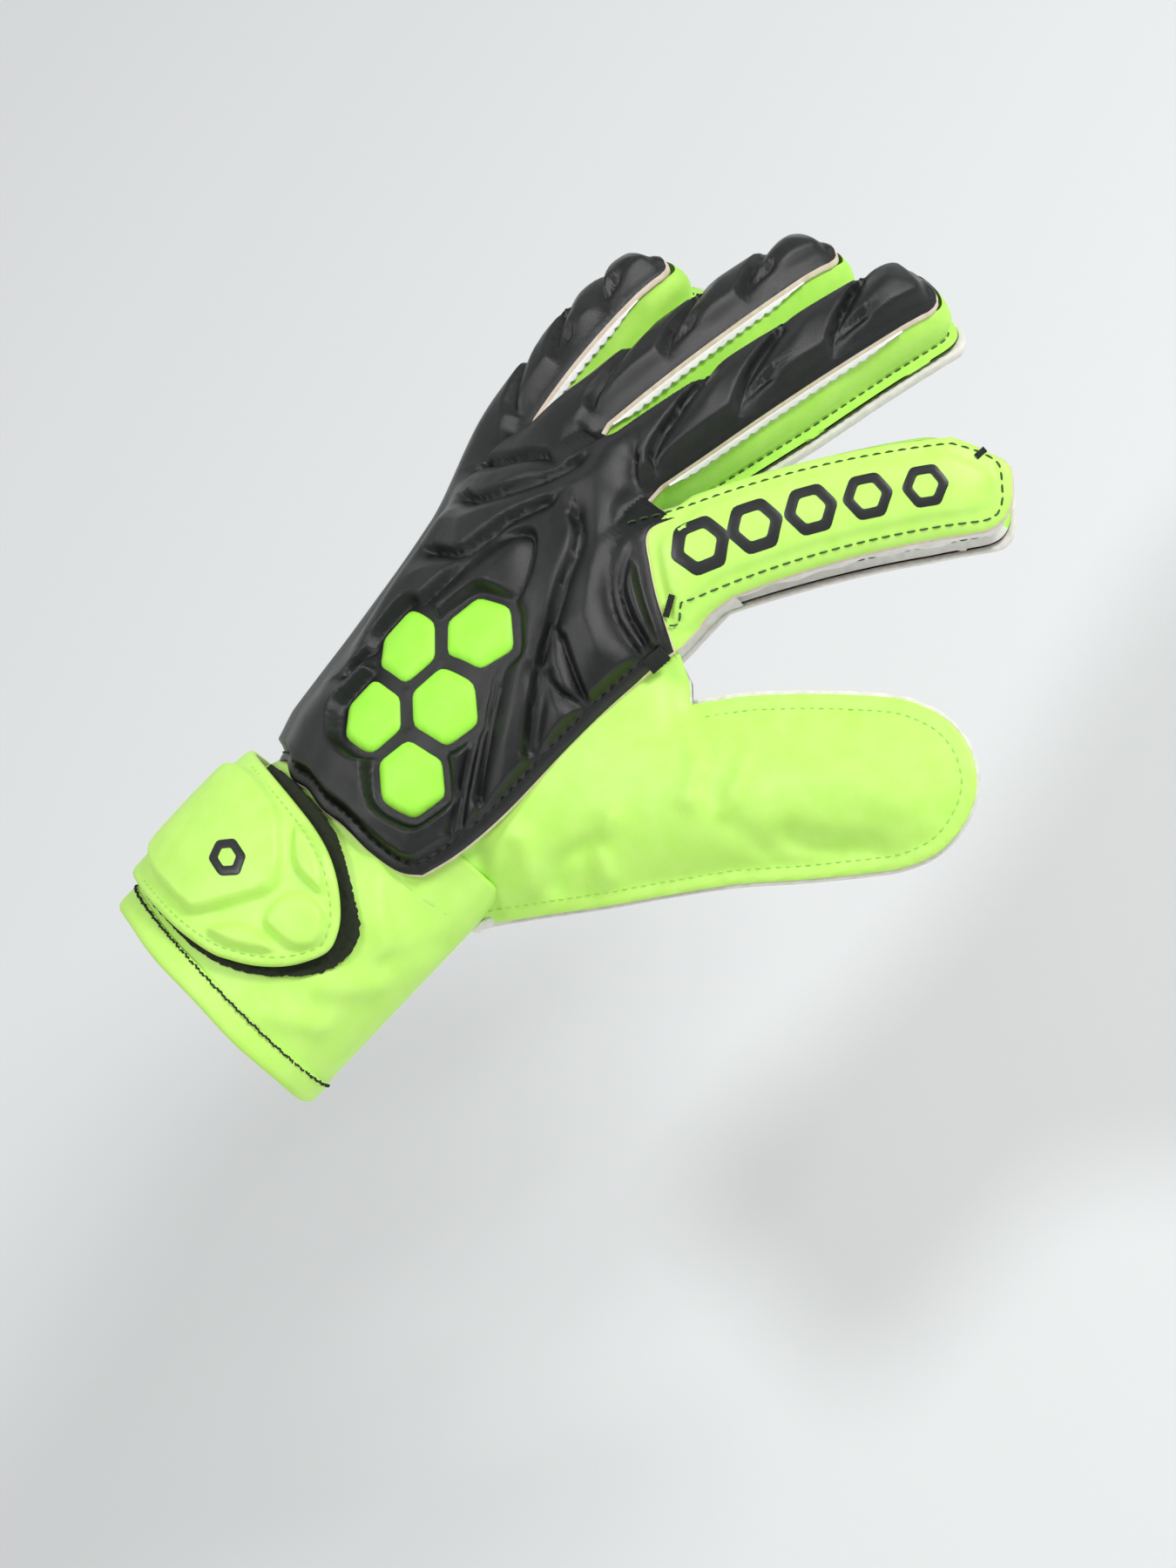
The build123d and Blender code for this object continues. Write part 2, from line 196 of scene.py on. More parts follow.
# ---- the hand's rays: one curved line per finger, from the wrist to the fingertip ----------------
WRIST = joint_point("wrist_bend")
RAY_NAMES = ("little", "ring", "middle", "index")
RAY_WRIST = {"little": (-20, 33, 37), "ring": (-7, 33, 42), "middle": (7, 33, 42), "index": (20, 33, 38)}
RAY_ROLLS = {"little": (-28, -24, -24, -22), "ring": (-9, -19, -19, -17), "middle": (9, 5, 5, 5),
             "index": (30, 28, 28, 30)}
RAY_ACROSS = {"little": (-25, -46), "ring": (-8.5, -24), "middle": (8.5, 0), "index": (25, 24)}
WEBS = (141.0, 150.0, 149.0)  # how far along the webs between neighbouring fingers are
WEB_FADE = 26.0
KNUCKLE_SHIFT = {"little": (6.0, 0.0, -6.0)}  # from the joint to the middle of the padding there


class Ray:
    """Centre line and frames of one finger and the bone behind it, by distance q along the hand."""

    def __init__(self, name):
        self.name = name
        knuckle, middle = joint_point(f"{name}_knuckle"), joint_point(f"{name}_middle")
        tip = far_end(f"{name}_2_gusset", middle)
        pts = np.array([RAY_WRIST[name], knuckle + KNUCKLE_SHIFT.get(name, (0, 0, 0)), middle, tip], float)
        lengths = np.linalg.norm(np.diff(pts, axis=0), axis=1)
        self.stops = np.array([RAY_WRIST[name][1], knuckle[1], knuckle[1] + lengths[1],
                               knuckle[1] + lengths[1] + lengths[2]])
        way = unit(np.diff(pts, axis=0))
        tangents = [way[0], unit(way[0] + way[1]), unit(way[1] + way[2])]
        tangents.append(unit(2 * way[2] - tangents[2]))
        qs, cs = [], []
        for i in range(3):
            t = np.linspace(0, 1, 40, endpoint=i == 2)[:, None]
            cs.append((2 * t**3 - 3 * t**2 + 1) * pts[i] + (t**3 - 2 * t**2 + t) * lengths[i] * tangents[i]
                      + (3 * t**2 - 2 * t**3) * pts[i + 1] + (t**3 - t**2) * lengths[i] * tangents[i + 1])
            qs.append(self.stops[i] + t[:, 0] * (self.stops[i + 1] - self.stops[i]))
        self.q, self.c = np.concatenate(qs), np.concatenate(cs)
        self.along = unit(np.gradient(self.c, self.q, axis=0))
        roll = np.radians(np.interp(self.q, self.stops, RAY_ROLLS[name]))
        flat = np.stack([np.cos(roll), 0 * roll, -np.sin(roll)], -1)
        self.across = unit(flat - self.along * (flat * self.along).sum(-1, keepdims=True))
        self.out = np.cross(self.across, self.along)
        self.knuckle_q, self.middle_q, self.tip_q = self.stops[1:]

    def centre(self, q):
        return np.interp(q, self.stops[:2], RAY_ACROSS[self.name])

    def at(self, p, q, h):
        def along_q(values):
            return np.stack([np.interp(q, self.q, values[:, k]) for k in range(3)], -1)

        past = (q - np.clip(q, self.q[0], self.q[-1]))[..., None]
        return (along_q(self.c) + unit(along_q(self.along)) * past
                + unit(along_q(self.across)) * (p - self.centre(q))[..., None]
                + unit(along_q(self.out)) * h[..., None])


RAYS = [Ray(n) for n in RAY_NAMES]


def shares(p, q):
    """How much each ray carries of each pattern point."""
    centres = [r.centre(q) for r in RAYS]
    out = [np.ones_like(p)] + [np.zeros_like(p) for _ in RAYS[1:]]
    for i in range(3):
        u = (p - centres[i]) / (centres[i + 1] - centres[i])
        fade = smooth((q - WEBS[i] + WEB_FADE) / WEB_FADE)
        share = smooth((u - 0.12) / 0.76) * (1 - fade) + (u > 0.5) * fade
        out[i + 1] = out[i] * share
        out[i] = out[i] * (1 - share)
    return out


def place(p, q, h, only=None):
    """Pattern point (p across, q along, h out of the back) to its place on the worn glove.

    With only, the points are all one finger's, however wide they lie.
    """
    p, q, h = (np.asarray(v, float) for v in np.broadcast_arrays(p, q, h))
    within = p
    if only is not None:
        i = RAYS.index(only)
        centre = only.centre(q)
        if i > 0:
            within = np.maximum(within, (centre + RAYS[i - 1].centre(q)) / 2 + 0.01)
        if i < 3:
            within = np.minimum(within, (centre + RAYS[i + 1].centre(q)) / 2 - 0.01)
    return sum(share[..., None] * ray.at(p, q, h) for share, ray in zip(shares(within, q), RAYS))


def ray_index(p, q):
    """Which ray each pattern point belongs to."""
    centres = np.stack([r.centre(q) for r in RAYS])
    return np.abs(centres - p).argmin(0)


# ---- sections -----------------------------------------------------------------------------------
FINGER_HALF = {"little": 11.6, "ring": 12.4, "middle": 13.0, "index": 13.6}
BACK_HALF = {"little": 12.0, "ring": 12.6, "middle": 13.2, "index": 17.0}
BACK_RISE = {"little": 13.0, "ring": 14.6, "middle": 15.6, "index": 14.5}
PANEL_SHIFT = {"little": -0.4, "ring": 0.0, "middle": -0.3, "index":
               -2.4}  # panels sit a little off their fingers
HAND_RISE = 13.0
TIP_DOME = 15.0


def tip_fall(ray, q):
    """Share of its height a finger keeps towards its tip."""
    t = np.clip((q - (ray.tip_q - TIP_DOME)) / TIP_DOME, 0, 1)
    return np.sqrt(np.maximum(1 - t**2 * 0.5, 0.0))


def taper(ray, q):
    return 1 - 0.05 * smooth((q - ray.middle_q) / (ray.tip_q - ray.middle_q))


def back_height(p, q, only=None):
    """Height of the back of the glove over its centre lines, before embossing."""
    p, q = np.asarray(p, float), np.asarray(q, float)
    idx = ray_index(p, q) if only is None else np.full(p.shape, RAYS.index(only))
    out = np.zeros_like(p)
    for i, ray in enumerate(RAYS):
        mine = idx == i
        if not mine.any():
            continue
        own_p, own_q = p[mine], q[mine]
        u = own_p - ray.centre(own_q)
        half, rise = BACK_HALF[ray.name], BACK_RISE[ray.name]
        across = np.abs(u - PANEL_SHIFT[ray.name]) / (half * 1.1)
        finger = rise * np.maximum(1 - across**2.3, 0.02) ** (1 / 2.3)
        finger = finger * taper(ray, own_q) * tip_fall(ray, own_q)
        side = np.zeros_like(u)
        if i == 0:
            side = np.maximum(-u - 1, 0) / 13.5
        if i == 3:
            side = np.maximum(u - 4, 0) / 22.0
        hand = HAND_RISE * np.maximum(1 - np.minimum(side, 0.98) ** 2.4, 0.02) ** (1 / 2.4)
        web = WEBS[min(i, 2)] if i < 3 else WEBS[2]
        fade = smooth((own_q - (web - 24)) / 24)
        out[mine] = hand * (1 - fade) + finger * fade
    return out


def on_back(points, lift, only=None):
    """Places on the back of the glove, lifted out of it."""
    p, q = points[:, 0], points[:, 1]
    return place(p, q, back_height(p, q, only) + lift, only)


# ---- meshes -------------------------------------------------------------------------------------
def triangulate(outline, step, lines=()):
    """Triangles filling a 2-D outline, with edges along lines: (points, triangles)."""
    low, high = outline.min(0), outline.max(0)
    rows = []
    for k, y in enumerate(np.arange(low[1], high[1], step * 0.87)):
        xs = np.arange(low[0] + (k % 2) * step / 2, high[0], step)
        rows.append(np.stack([xs, np.full_like(xs, y)], -1))
    grid = np.concatenate(rows)
    grid = grid[inside(grid, outline)]
    keep = depth_in(grid, outline) > step * 0.55
    if len(lines):
        keep &= distance_to(grid, lines) > step * 0.5
    grid = grid[keep]
    verts = [Vector(p) for p in outline]
    edges = [(i, (i + 1) % len(outline)) for i in range(len(outline))]
    for line in lines:
        base = len(verts)
        verts += [Vector(p) for p in line]
        edges += [(base + i, base + i + 1) for i in range(len(line) - 1)]
    verts += [Vector(p) for p in grid]
    points, _, faces, _, _, _ = delaunay_2d_cdt(verts, edges, [], 1, 1e-5)
    points = np.array([tuple(v) for v in points])
    faces = [f for f in faces if len(f) == 3]
    centres = np.array([points[list(f)].mean(0) for f in faces])
    ok = inside(centres, outline)
    faces = [f for f, k in zip(faces, ok) if k]
    return points, np.array(faces)


def boundary_loops(faces):
    """Directed boundary edges of a triangle mesh."""
    seen = {}
    for f in faces:
        for a, b in ((f[0], f[1]), (f[1], f[2]), (f[2], f[0])):
            seen[(a, b)] = True
    return [(a, b) for a, b in seen if (b, a) not in seen]


def make_object(name, verts, faces, materials, face_material=None, smooth_shade=True):
    """Mesh object from points in millimetres."""
    mesh = bpy.data.meshes.new(name)
    mesh.from_pydata([tuple(v) for v in np.asarray(verts) * MM], [],
                     [tuple(int(i) for i in f) for f in faces])
    for m in materials:
        mesh.materials.append(m)
    if face_material is not None:
        mesh.polygons.foreach_set("material_index", np.asarray(face_material, np.int32))
    if smooth_shade:
        mesh.polygons.foreach_set("use_smooth", np.ones(len(mesh.polygons), bool))
    mesh.update()
    obj = bpy.data.objects.new(name, mesh)
    bpy.context.scene.collection.objects.link(obj)
    return obj


def vertex_normals(verts, faces):
    """Area-weighted normals of a mesh of triangles and quads."""
    verts = np.asarray(verts, float)
    normals = np.zeros_like(verts)
    for size in (3, 4):
        f = np.array([list(x) for x in faces if len(x) == size])
        if not len(f):
            continue
        n = np.cross(verts[f[:, 1]] - verts[f[:, 0]], verts[f[:, 2]] - verts[f[:, 0]])
        if size == 4:
            n = n + np.cross(verts[f[:, 2]] - verts[f[:, 0]], verts[f[:, 3]] - verts[f[:, 0]])
        for k in range(size):
            np.add.at(normals, f[:, k], n)
    lengths = np.linalg.norm(normals, axis=1, keepdims=True)
    return normals / np.maximum(lengths, 1e-12)


class Piece:
    """A mesh under construction, whose faces are later shared out among bodies."""

    def __init__(self, name, materials):
        self.name, self.materials = name, materials
        self.verts, self.faces, self.slots, self.groups = [], [], [], []
        self.count = 0

    def add(self, verts, faces, slot, groups):
        """groups is one label per face, such as 'hand' or ('index', 'base')."""
        self.verts.append(np.asarray(verts, float))
        self.faces += [tuple(int(i) + self.count for i in f) for f in faces]
        self.slots += [slot] * len(faces) if np.isscalar(slot) else list(slot)
        self.groups += list(groups)
        self.count += len(verts)

    def build(self, record_slot, nodes_by_group=None, sharp=False):
        """One object per group, with the whole mesh's normals so that the cuts between them don't show."""
        verts = np.concatenate(self.verts)
        normals = vertex_normals(verts, self.faces)
        made = {}
        for group in dict.fromkeys(self.groups):
            picked = [k for k, g in enumerate(self.groups) if g == group]
            used = sorted({i for k in picked for i in self.faces[k]})
            index = {v: n for n, v in enumerate(used)}
            faces = [tuple(index[i] for i in self.faces[k]) for k in picked]
            ending = "_".join(group) if isinstance(group, tuple) else group
            label = self.name if group == "hand" else f"{self.name}_{ending}"
            obj = make_object(label, verts[used], faces, self.materials, [self.slots[k] for k in picked])
            if not sharp:
                obj.data.normals_split_custom_set_from_vertices([tuple(n) for n in normals[used]])
            attach(obj, group)
            made[group] = obj
        return made


def replace_lengths(made, name, kind):
    """A finger's piece stands in for the CAD nodes of its two lengths."""
    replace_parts(made[(name, "base")], f"{name}_1_{kind}")
    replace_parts(made[(name, "end")], f"{name}_2_{kind}")


WRIST_REACH = 16.0  # how far past the wrist's hinge a sheet's faces still go to the wrist's group
THUMB_SPLIT = 24.0  # how far along the thumb its second length starts
BASE_START = 13.0  # a finger's own mesh starts this far behind its knuckle


def attach(obj, group):
    """Parents a piece to its group's body, or for the wrist, the thumb and the fingers' lengths only bakes
    its transform.
    """

    if isinstance(group, str):
        if group == "wrist":
            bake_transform(obj)
        elif group == "thumb_root":
            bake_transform(obj)
        elif group == "thumb_top":
            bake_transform(obj)
        else:
            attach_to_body(obj, group)
        return
    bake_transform(obj)


def finger_groups(p, q, only=None):
    """The group of each pattern point of the hand and fingers."""
    idx = ray_index(np.asarray(p, float), np.asarray(q, float))
    if only is not None:
        idx = np.full(len(q), RAYS.index(only))
    out = []
    for i, own_q in zip(idx, q):
        ray = RAYS[i]
        if own_q < WRIST[1] + WRIST_REACH:
            out.append("wrist")
        elif own_q < ray.knuckle_q - BASE_START:
            out.append("hand")
        elif own_q < (ray.knuckle_q + ray.middle_q) / 2:
            out.append((ray.name, "base"))
        else:
            out.append((ray.name, "end"))
    return out


THUMB_ROOT, THUMB_JOINT = joint_point("thumb_root"), joint_point("thumb_middle")

# ---- the view the thumb's flat pieces are laid out in: square to the back of the thumb ----------
SIDE = np.array([1, 0, -1]) / sqrt(2)
AHEAD = np.array([0.0, 1.0, 0.0])
FACE = np.array([1, 0, 1]) / sqrt(2)


def face_coords(point):
    """(s, y, n) of a point: along the sheet, along the hand, and out of the sheet."""
    point = np.asarray(point, float)
    return np.stack([point @ SIDE, point @ AHEAD, point @ FACE], -1)


def face_point(s, y, n):
    return np.asarray(s)[..., None] * SIDE + np.asarray(y)[..., None] * AHEAD + np.asarray(n)[...,
                                                                                              None] * FACE


ROOT_SY, JOINT_SY = face_coords(THUMB_ROOT), face_coords(THUMB_JOINT)
FOLD_WAY = np.array([0.93, 0.37])  # across the web between thumb and palm, as (s, y)
FOLD_FROM, FOLD_TO = -2.0, 22.0
THUMB_WAY = unit(JOINT_SY[:2] - ROOT_SY[:2])


def along_thumb(s, y):
    """How far along the thumb a point of its chart is, from its root."""
    return (s - ROOT_SY[0]) * THUMB_WAY[0] + (y - ROOT_SY[1]) * THUMB_WAY[1]


def thumb_groups(s, y):
    """The group of each point of the thumb's sheets."""
    out = []
    for si, yi in zip(s, y):
        across_fold = (si - ROOT_SY[0]) * FOLD_WAY[0] + (yi - ROOT_SY[1]) * FOLD_WAY[1]
        along = along_thumb(si, yi)
        if yi < WRIST[1] + WRIST_REACH:
            out.append("wrist")
        elif across_fold < FOLD_FROM - 2:
            out.append("hand")
        elif along < THUMB_SPLIT:
            out.append("thumb_root")
        else:
            out.append("thumb_top")
    return out


# ---- materials ----------------------------------------------------------------------------------
def new_material(name, colour, roughness, build=None, **inputs):
    """Principled material; build(mat, nodes, links, shader) adds its pattern."""
    mat = bpy.data.materials.new(name)
    mat.use_nodes = True
    nodes, links = mat.node_tree.nodes, mat.node_tree.links
    shader = nodes["Principled BSDF"]
    shader.inputs["Base Color"].default_value = (*colour, 1)
    shader.inputs["Roughness"].default_value = roughness
    for key, value in inputs.items():
        shader.inputs[key.replace("_", " ")].default_value = value
    if build:
        build(mat, nodes, links, shader)
    return mat


def texture(nodes, links, kind, scale, **settings):
    """Texture node reading object coordinates in millimetres."""
    coords = nodes.new("ShaderNodeTexCoord")
    mapping = nodes.new("ShaderNodeMapping")
    mapping.inputs["Scale"].default_value = (scale / MM,) * 3 if np.isscalar(scale) else tuple(v / MM
                                                                                               for v in scale)
    links.new(coords.outputs["Object"], mapping.inputs["Vector"])
    node = nodes.new(kind)
    links.new(mapping.outputs["Vector"], node.inputs["Vector"])
    for key, value in settings.items():
        if key in node.inputs:
            node.inputs[key].default_value = value
        else:
            setattr(node, key, value)
    return node


def bump(nodes, links, shader, sources):
    """Chains bump nodes: sources is a list of (socket, strength, distance in mm)."""
    last = None
    for socket, strength, depth in sources:
        node = nodes.new("ShaderNodeBump")
        node.inputs["Strength"].default_value = strength
        node.inputs["Distance"].default_value = depth * MM
        links.new(socket, node.inputs["Height"])
        if last:
            links.new(last.outputs["Normal"], node.inputs["Normal"])
        last = node
    links.new(last.outputs["Normal"], shader.inputs["Normal"])


def vary(nodes, links, shader, socket, dark, light, low=0.3, high=0.7, target="Base Color"):
    """Drives a colour or roughness from a texture through a ramp."""
    ramp = nodes.new("ShaderNodeValToRGB")
    ramp.color_ramp.elements[0].position, ramp.color_ramp.elements[1].position = low, high
    ramp.color_ramp.elements[0].color = (*dark, 1)
    ramp.color_ramp.elements[1].color = (*light, 1)
    links.new(socket, ramp.inputs["Fac"])
    links.new(ramp.outputs["Color"], shader.inputs[target])
    return ramp


def leather(mat, nodes, links, shader):
    grain = texture(nodes, links, "ShaderNodeTexVoronoi", 1.5, feature="DISTANCE_TO_EDGE")
    fine = texture(nodes, links, "ShaderNodeTexNoise", 2.6, Detail=6.0, Roughness=0.65)
    broad = texture(nodes, links, "ShaderNodeTexNoise", 0.06, Detail=2.0)
    vary(nodes, links, shader, broad.outputs["Fac"], (0.004, 0.0045, 0.0048), (0.008, 0.009, 0.0095))
    vary(nodes, links, shader, fine.outputs["Fac"], (0.2,) * 3, (0.34,) * 3, target="Roughness")
    bump(nodes, links, shader, [(grain.outputs["Distance"], 0.25, 0.1), (fine.outputs["Fac"], 0.5, 0.11)])


def coated(dark, light):
    def build(mat, nodes, links, shader):
        broad = texture(nodes, links, "ShaderNodeTexNoise", 0.035, Detail=3.0)
        fine = texture(nodes, links, "ShaderNodeTexNoise", 3.2, Detail=5.0, Roughness=0.6)
        vary(nodes, links, shader, broad.outputs["Fac"], dark, light)
        bump(nodes, links, shader, [(fine.outputs["Fac"], 0.3, 0.07)])
    return build


def knitted(dark, light, pitch=0.9):
    def build(mat, nodes, links, shader):
        broad = texture(nodes, links, "ShaderNodeTexNoise", 0.05, Detail=3.0)
        ribs = texture(nodes, links, "ShaderNodeTexWave", pitch, bands_direction="X", Distortion=1.2,
                       Detail=2.0)
        loops = texture(nodes, links, "ShaderNodeTexWave", pitch * 1.3, bands_direction="Y", Distortion=1.5)
        vary(nodes, links, shader, broad.outputs["Fac"], dark, light)
        bump(nodes, links, shader, [(ribs.outputs["Fac"], 0.25, 0.12), (loops.outputs["Fac"], 0.2, 0.1)])
    return build


def foam(dark, light, cells=2.2):
    def build(mat, nodes, links, shader):
        pores = texture(nodes, links, "ShaderNodeTexVoronoi", cells)
        cloudy = texture(nodes, links, "ShaderNodeTexNoise", 0.08, Detail=4.0)
        vary(nodes, links, shader, cloudy.outputs["Fac"], dark, light)
        bump(nodes, links, shader,
             [(pores.outputs["Distance"], 0.35, 0.12), (cloudy.outputs["Fac"], 0.2, 0.5)])
    return build


def fuzz(dark, light):
    def build(mat, nodes, links, shader):
        pile = texture(nodes, links, "ShaderNodeTexNoise", 1.6, Detail=8.0, Roughness=0.8)
        vary(nodes, links, shader, pile.outputs["Fac"], dark, light)
        bump(nodes, links, shader, [(pile.outputs["Fac"], 1.0, 0.6)])
    return build


BLACK = new_material("black_leather", (0.006, 0.007, 0.0075), 0.4, leather, Specular_IOR_Level=0.5)
LIME = new_material("lime_sheet", (0.56, 0.95, 0.16), 0.46,
                    coated((0.54, 0.94, 0.145), (0.59, 0.97, 0.185)),
                    Subsurface_Weight=0.1, Subsurface_Scale=0.004)
GUSSET = new_material("lime_jersey", (0.52, 0.96, 0.12), 0.7,
                      knitted((0.49, 0.94, 0.11), (0.56, 0.97, 0.15)),
                      Sheen_Weight=0.2)
INSERT = new_material("lime_insert", (0.40, 0.98, 0.06), 0.5,
                      coated((0.38, 0.97, 0.055), (0.42, 0.99, 0.075)))
LATEX = new_material("cream_latex", (0.85, 0.83, 0.77), 0.72, foam((0.78, 0.76, 0.69), (0.9, 0.88, 0.83)),
                     Subsurface_Weight=0.12, Subsurface_Scale=0.003)
BEIGE = new_material("beige_foam", (0.80, 0.66, 0.53), 0.85,
                     foam((0.72, 0.58, 0.45), (0.86, 0.74, 0.62), 3.0))
WHITE = new_material("white_cloth", (0.86, 0.87, 0.84), 0.8,
                     knitted((0.8, 0.81, 0.77), (0.9, 0.91, 0.88), 1.2))
THREAD = new_material("green_thread", (0.035, 0.085, 0.02), 0.7,
                      knitted((0.03, 0.07, 0.015), (0.05, 0.11, 0.03), 3.0))
BLACK_THREAD = new_material("black_thread", (0.012, 0.013, 0.012), 0.75,
                            knitted((0.008, 0.009, 0.008), (0.02, 0.022, 0.02), 3.0))
ELASTIC = new_material("black_elastic", (0.012, 0.012, 0.012), 0.8,
                       knitted((0.008,) * 3, (0.022,) * 3, 0.6))
LOOP = new_material("loop_pile", (0.02, 0.03, 0.012), 0.95,
                    fuzz((0.006, 0.009, 0.004), (0.05, 0.065, 0.03)))
PRINT = new_material("black_print", (0.014, 0.016, 0.015), 0.36,
                     coated((0.011, 0.013, 0.012), (0.018, 0.02, 0.019)))


# ---- sheets cut from the pattern ----------------------------------------------------------------
def add_sheet(piece, outline, step, top, bottom, groups, lines=(), slots=(0, 1, 1), bead=0.4):
    """Adds a closed sheet: its top, rim and bottom. top and bottom map 2-D points and their distance
    from the outline to places; groups labels 2-D points; slots are for the top, the rim and the bottom."""
    points, faces = triangulate(outline, step, lines)
    depth = depth_in(points, outline)
    a, b = top(points, depth), bottom(points, depth)
    n = len(points)
    face_normals = np.cross(a[faces[:, 1]] - a[faces[:, 0]], a[faces[:, 2]] - a[faces[:, 0]])
    flip = ((a - b)[faces].mean(1) * face_normals).sum() < 0
    upper = [tuple(f) for f in (faces[:, ::-1] if flip else faces)]
    lower = [(f[2] + n, f[1] + n, f[0] + n) for f in upper]
    rim = boundary_loops(faces)
    order = sorted({v for edge in rim for v in edge})
    middle_of = {v: 2 * n + k for k, v in enumerate(order)}
    normals = vertex_normals(a, [tuple(f) for f in faces])
    out = np.zeros((n, 3))
    for i, j in rim:
        side = np.cross(a[j] - a[i], normals[i])
        out[i] += side
        out[j] += side
    beads = (a[order] + b[order]) / 2 + unit(out[order] + 1e-12) * bead
    ring = []
    for i, j in rim:
        if flip:
            i, j = j, i
        ring.append((j, i, middle_of[i], middle_of[j]))
        ring.append((middle_of[j], middle_of[i], i + n, j + n))
    labels = groups(points[faces].mean(1))
    rim_labels = groups(points[np.array(rim)].mean(1))
    piece.add(np.concatenate([a, b, beads]), upper + lower + ring,
              [slots[0]] * len(upper) + [slots[2]] * len(lower) + [slots[1]] * len(ring),
              labels + labels + [g for g in rim_labels for _ in (0, 1)])
    return points, faces


INDEX_SLANT, SLANT_LENGTH = 0.55, 24.0


def slant(ray, across, q):
    """The little-finger side of the index fingertip is drawn in: factor on the distance across."""
    if ray.name != "index":
        return np.ones_like(across)
    drawn_in = smooth((q - (ray.tip_q + 5.5 - SLANT_LENGTH)) / SLANT_LENGTH)
    return np.where(across < 0, 1 - INDEX_SLANT * drawn_in, 1.0)


def finger_outline(ray, half, start_q, reach, step=1.2, squareness=0.55):
    """Outline of a finger from its thumb side at start_q round the tip to its other side."""
    tip = ray.tip_q + reach
    corner = half * 0.95
    pts = [(half, start_q), (half * 1.0, tip - corner)]
    for t in np.linspace(0, pi, 13)[1:-1]:
        c, s = cos(t), sin(t)
        pts.append((half * np.sign(c) * abs(c) ** squareness, tip - corner + corner * s ** squareness))
    pts += [(-half, tip - corner), (-half, start_q)]
    pts = np.array(pts, float)
    pts[:, 0] *= slant(ray, pts[:, 0], pts[:, 1])
    narrow = 1 - PANEL_TAPER * smooth((pts[:, 1] - ray.middle_q) / (ray.tip_q - ray.middle_q))
    pts[:, 0] = pts[:, 0] * narrow + ray.centre(pts[:, 1]) + PANEL_SHIFT[ray.name]
    return resample(pts, step)


PANEL_HALF = {"little": 10.5, "ring": 10.8, "middle": 11.5, "index": 15.2}
PANEL_REACH = {"little": 2.5, "ring": 2.5, "middle": 2.5, "index": 5.0}
PANEL_TAPER = 0.05
FOAM = 3.0  # thickness of the embossed back
INDEX_RAY = RAYS[3]

INDEX_BORDER = [(44.0, 128.0), (37.5, 129.5), (27.5, 131.5), (17.5, 134.5), (13.2, 138.0), (12.2, 143.0)]
PANEL_BOTTOM = [(-43.5, 31.0), (-30.0, 28.5), (-8.0, 27.5), (16.5, 28.0), (32.0, 29.5), (38.5, 33.5)]
PANEL_SIDE = [(42.0, 45.0), (44.5, 62.0), (45.5, 86.0), (45.5, 109.0), (44.5, 122.0)]
PANEL_ULNAR = [(-57.2, 118.0), (-57.8, 105.0), (-55.5, 90.0), (-51.5, 68.0), (-46.5, 45.0)]


def black_outline():
    parts = [curve_through(PANEL_BOTTOM, 1.3),
             curve_through([PANEL_BOTTOM[-1]] + PANEL_SIDE + [INDEX_BORDER[0]], 1.3)[1:],
             curve_through(INDEX_BORDER, 1.2)[1:]]
    # thumb side first: middle, then ring, then little
    middle = finger_outline(RAYS[2], PANEL_HALF["middle"], WEBS[2] + 2, 0)
    ring = finger_outline(RAYS[1], PANEL_HALF["ring"], WEBS[1] + 3, 0)
    little = finger_outline(RAYS[0], PANEL_HALF["little"], WEBS[0] + 3, 0)
    parts += [middle, [(sum((middle[-1][0], ring[0][0])) / 2, WEBS[1])], ring,
              [(sum((ring[-1][0], little[0][0])) / 2, WEBS[0])], little,
              curve_through([little[-1]] + PANEL_ULNAR + [PANEL_BOTTOM[0]], 1.3)[1:-1]]
    return np.concatenate([np.asarray(p, float) for p in parts])


# grooves pressed into the back of the hand, as pattern curves, and the same for each finger as
# (across as a share of the half width, along as a share of the way from web to tip)
HAND_GROOVES = [
    [(-19, 60.5), (-9.5, 88.5), (-7.5, 109), (-3, 117), (2.5, 117), (8, 110), (12, 99), (19.5, 83),
     (27, 69), (34, 56.5),
     (38, 50)],
    [(5, 128.5), (9.5, 124.5), (14.5, 114), (21.5, 102), (31, 88), (39, 76)],
    [(4, 149.5), (8, 146), (12, 145.5)],
    [(24.5, 104.5), (33.5, 101), (41.5, 98)],
    [(28.5, 94.5), (35, 94.5), (42, 96.5)],
    [(28.5, 94.5), (32.5, 88.5), (40, 77)],
    [(12, 146), (12.5, 134.5), (14.5, 128.5), (20, 122.5), (30, 119), (40.5, 119)],
    [(12.5, 138), (18, 129), (23, 124.5), (32, 122.5), (40.5, 122.5)],
    [(-5, 126), (-8.5, 115.5), (-8.5, 99.5), (-10.5, 83), (-16, 74)],
    [(-29, 115.5), (-19.5, 117), (-11.5, 127), (-8.5, 138)],
    [(-21.5, 99), (-11.5, 101.5), (-9, 110.5)],
    [(-35, 126.5), (-25.5, 129), (-14.5, 135)],
    [(37.5, 57.5), (28, 73), (19, 88), (12.5, 99.5)],
    [(37, 47), (28, 64.5), (18.5, 81.5), (12.5, 95)],
]
FINGER_GROOVES = [
    [(0.9, 0.02), (0.4, 0.06), (-0.2, 0.2), (-0.7, 0.32)],
    [(0.9, 0.30), (0.55, 0.34), (0.1, 0.42), (-0.5, 0.55)],
    [(0.55, 0.36), (0.45, 0.44)],
    [(0.9, 0.62), (0.5, 0.66), (0.0, 0.74), (-0.6, 0.84)],
    [(0.5, 0.68), (0.4, 0.76)],
]
HEX_ACROSS, HEX_AHEAD = np.array([-20.5, 5.0]), np.array([-5.9, 20.25])
HEX_FIRST = np.array([20.0, 50.0])
HEX_PLACES = [(0, 0), (1, 0), (0, 1), (1, 1), (0, 2)]
HEX_RADIUS, HEX_TURN = 10.4, radians(16.3)


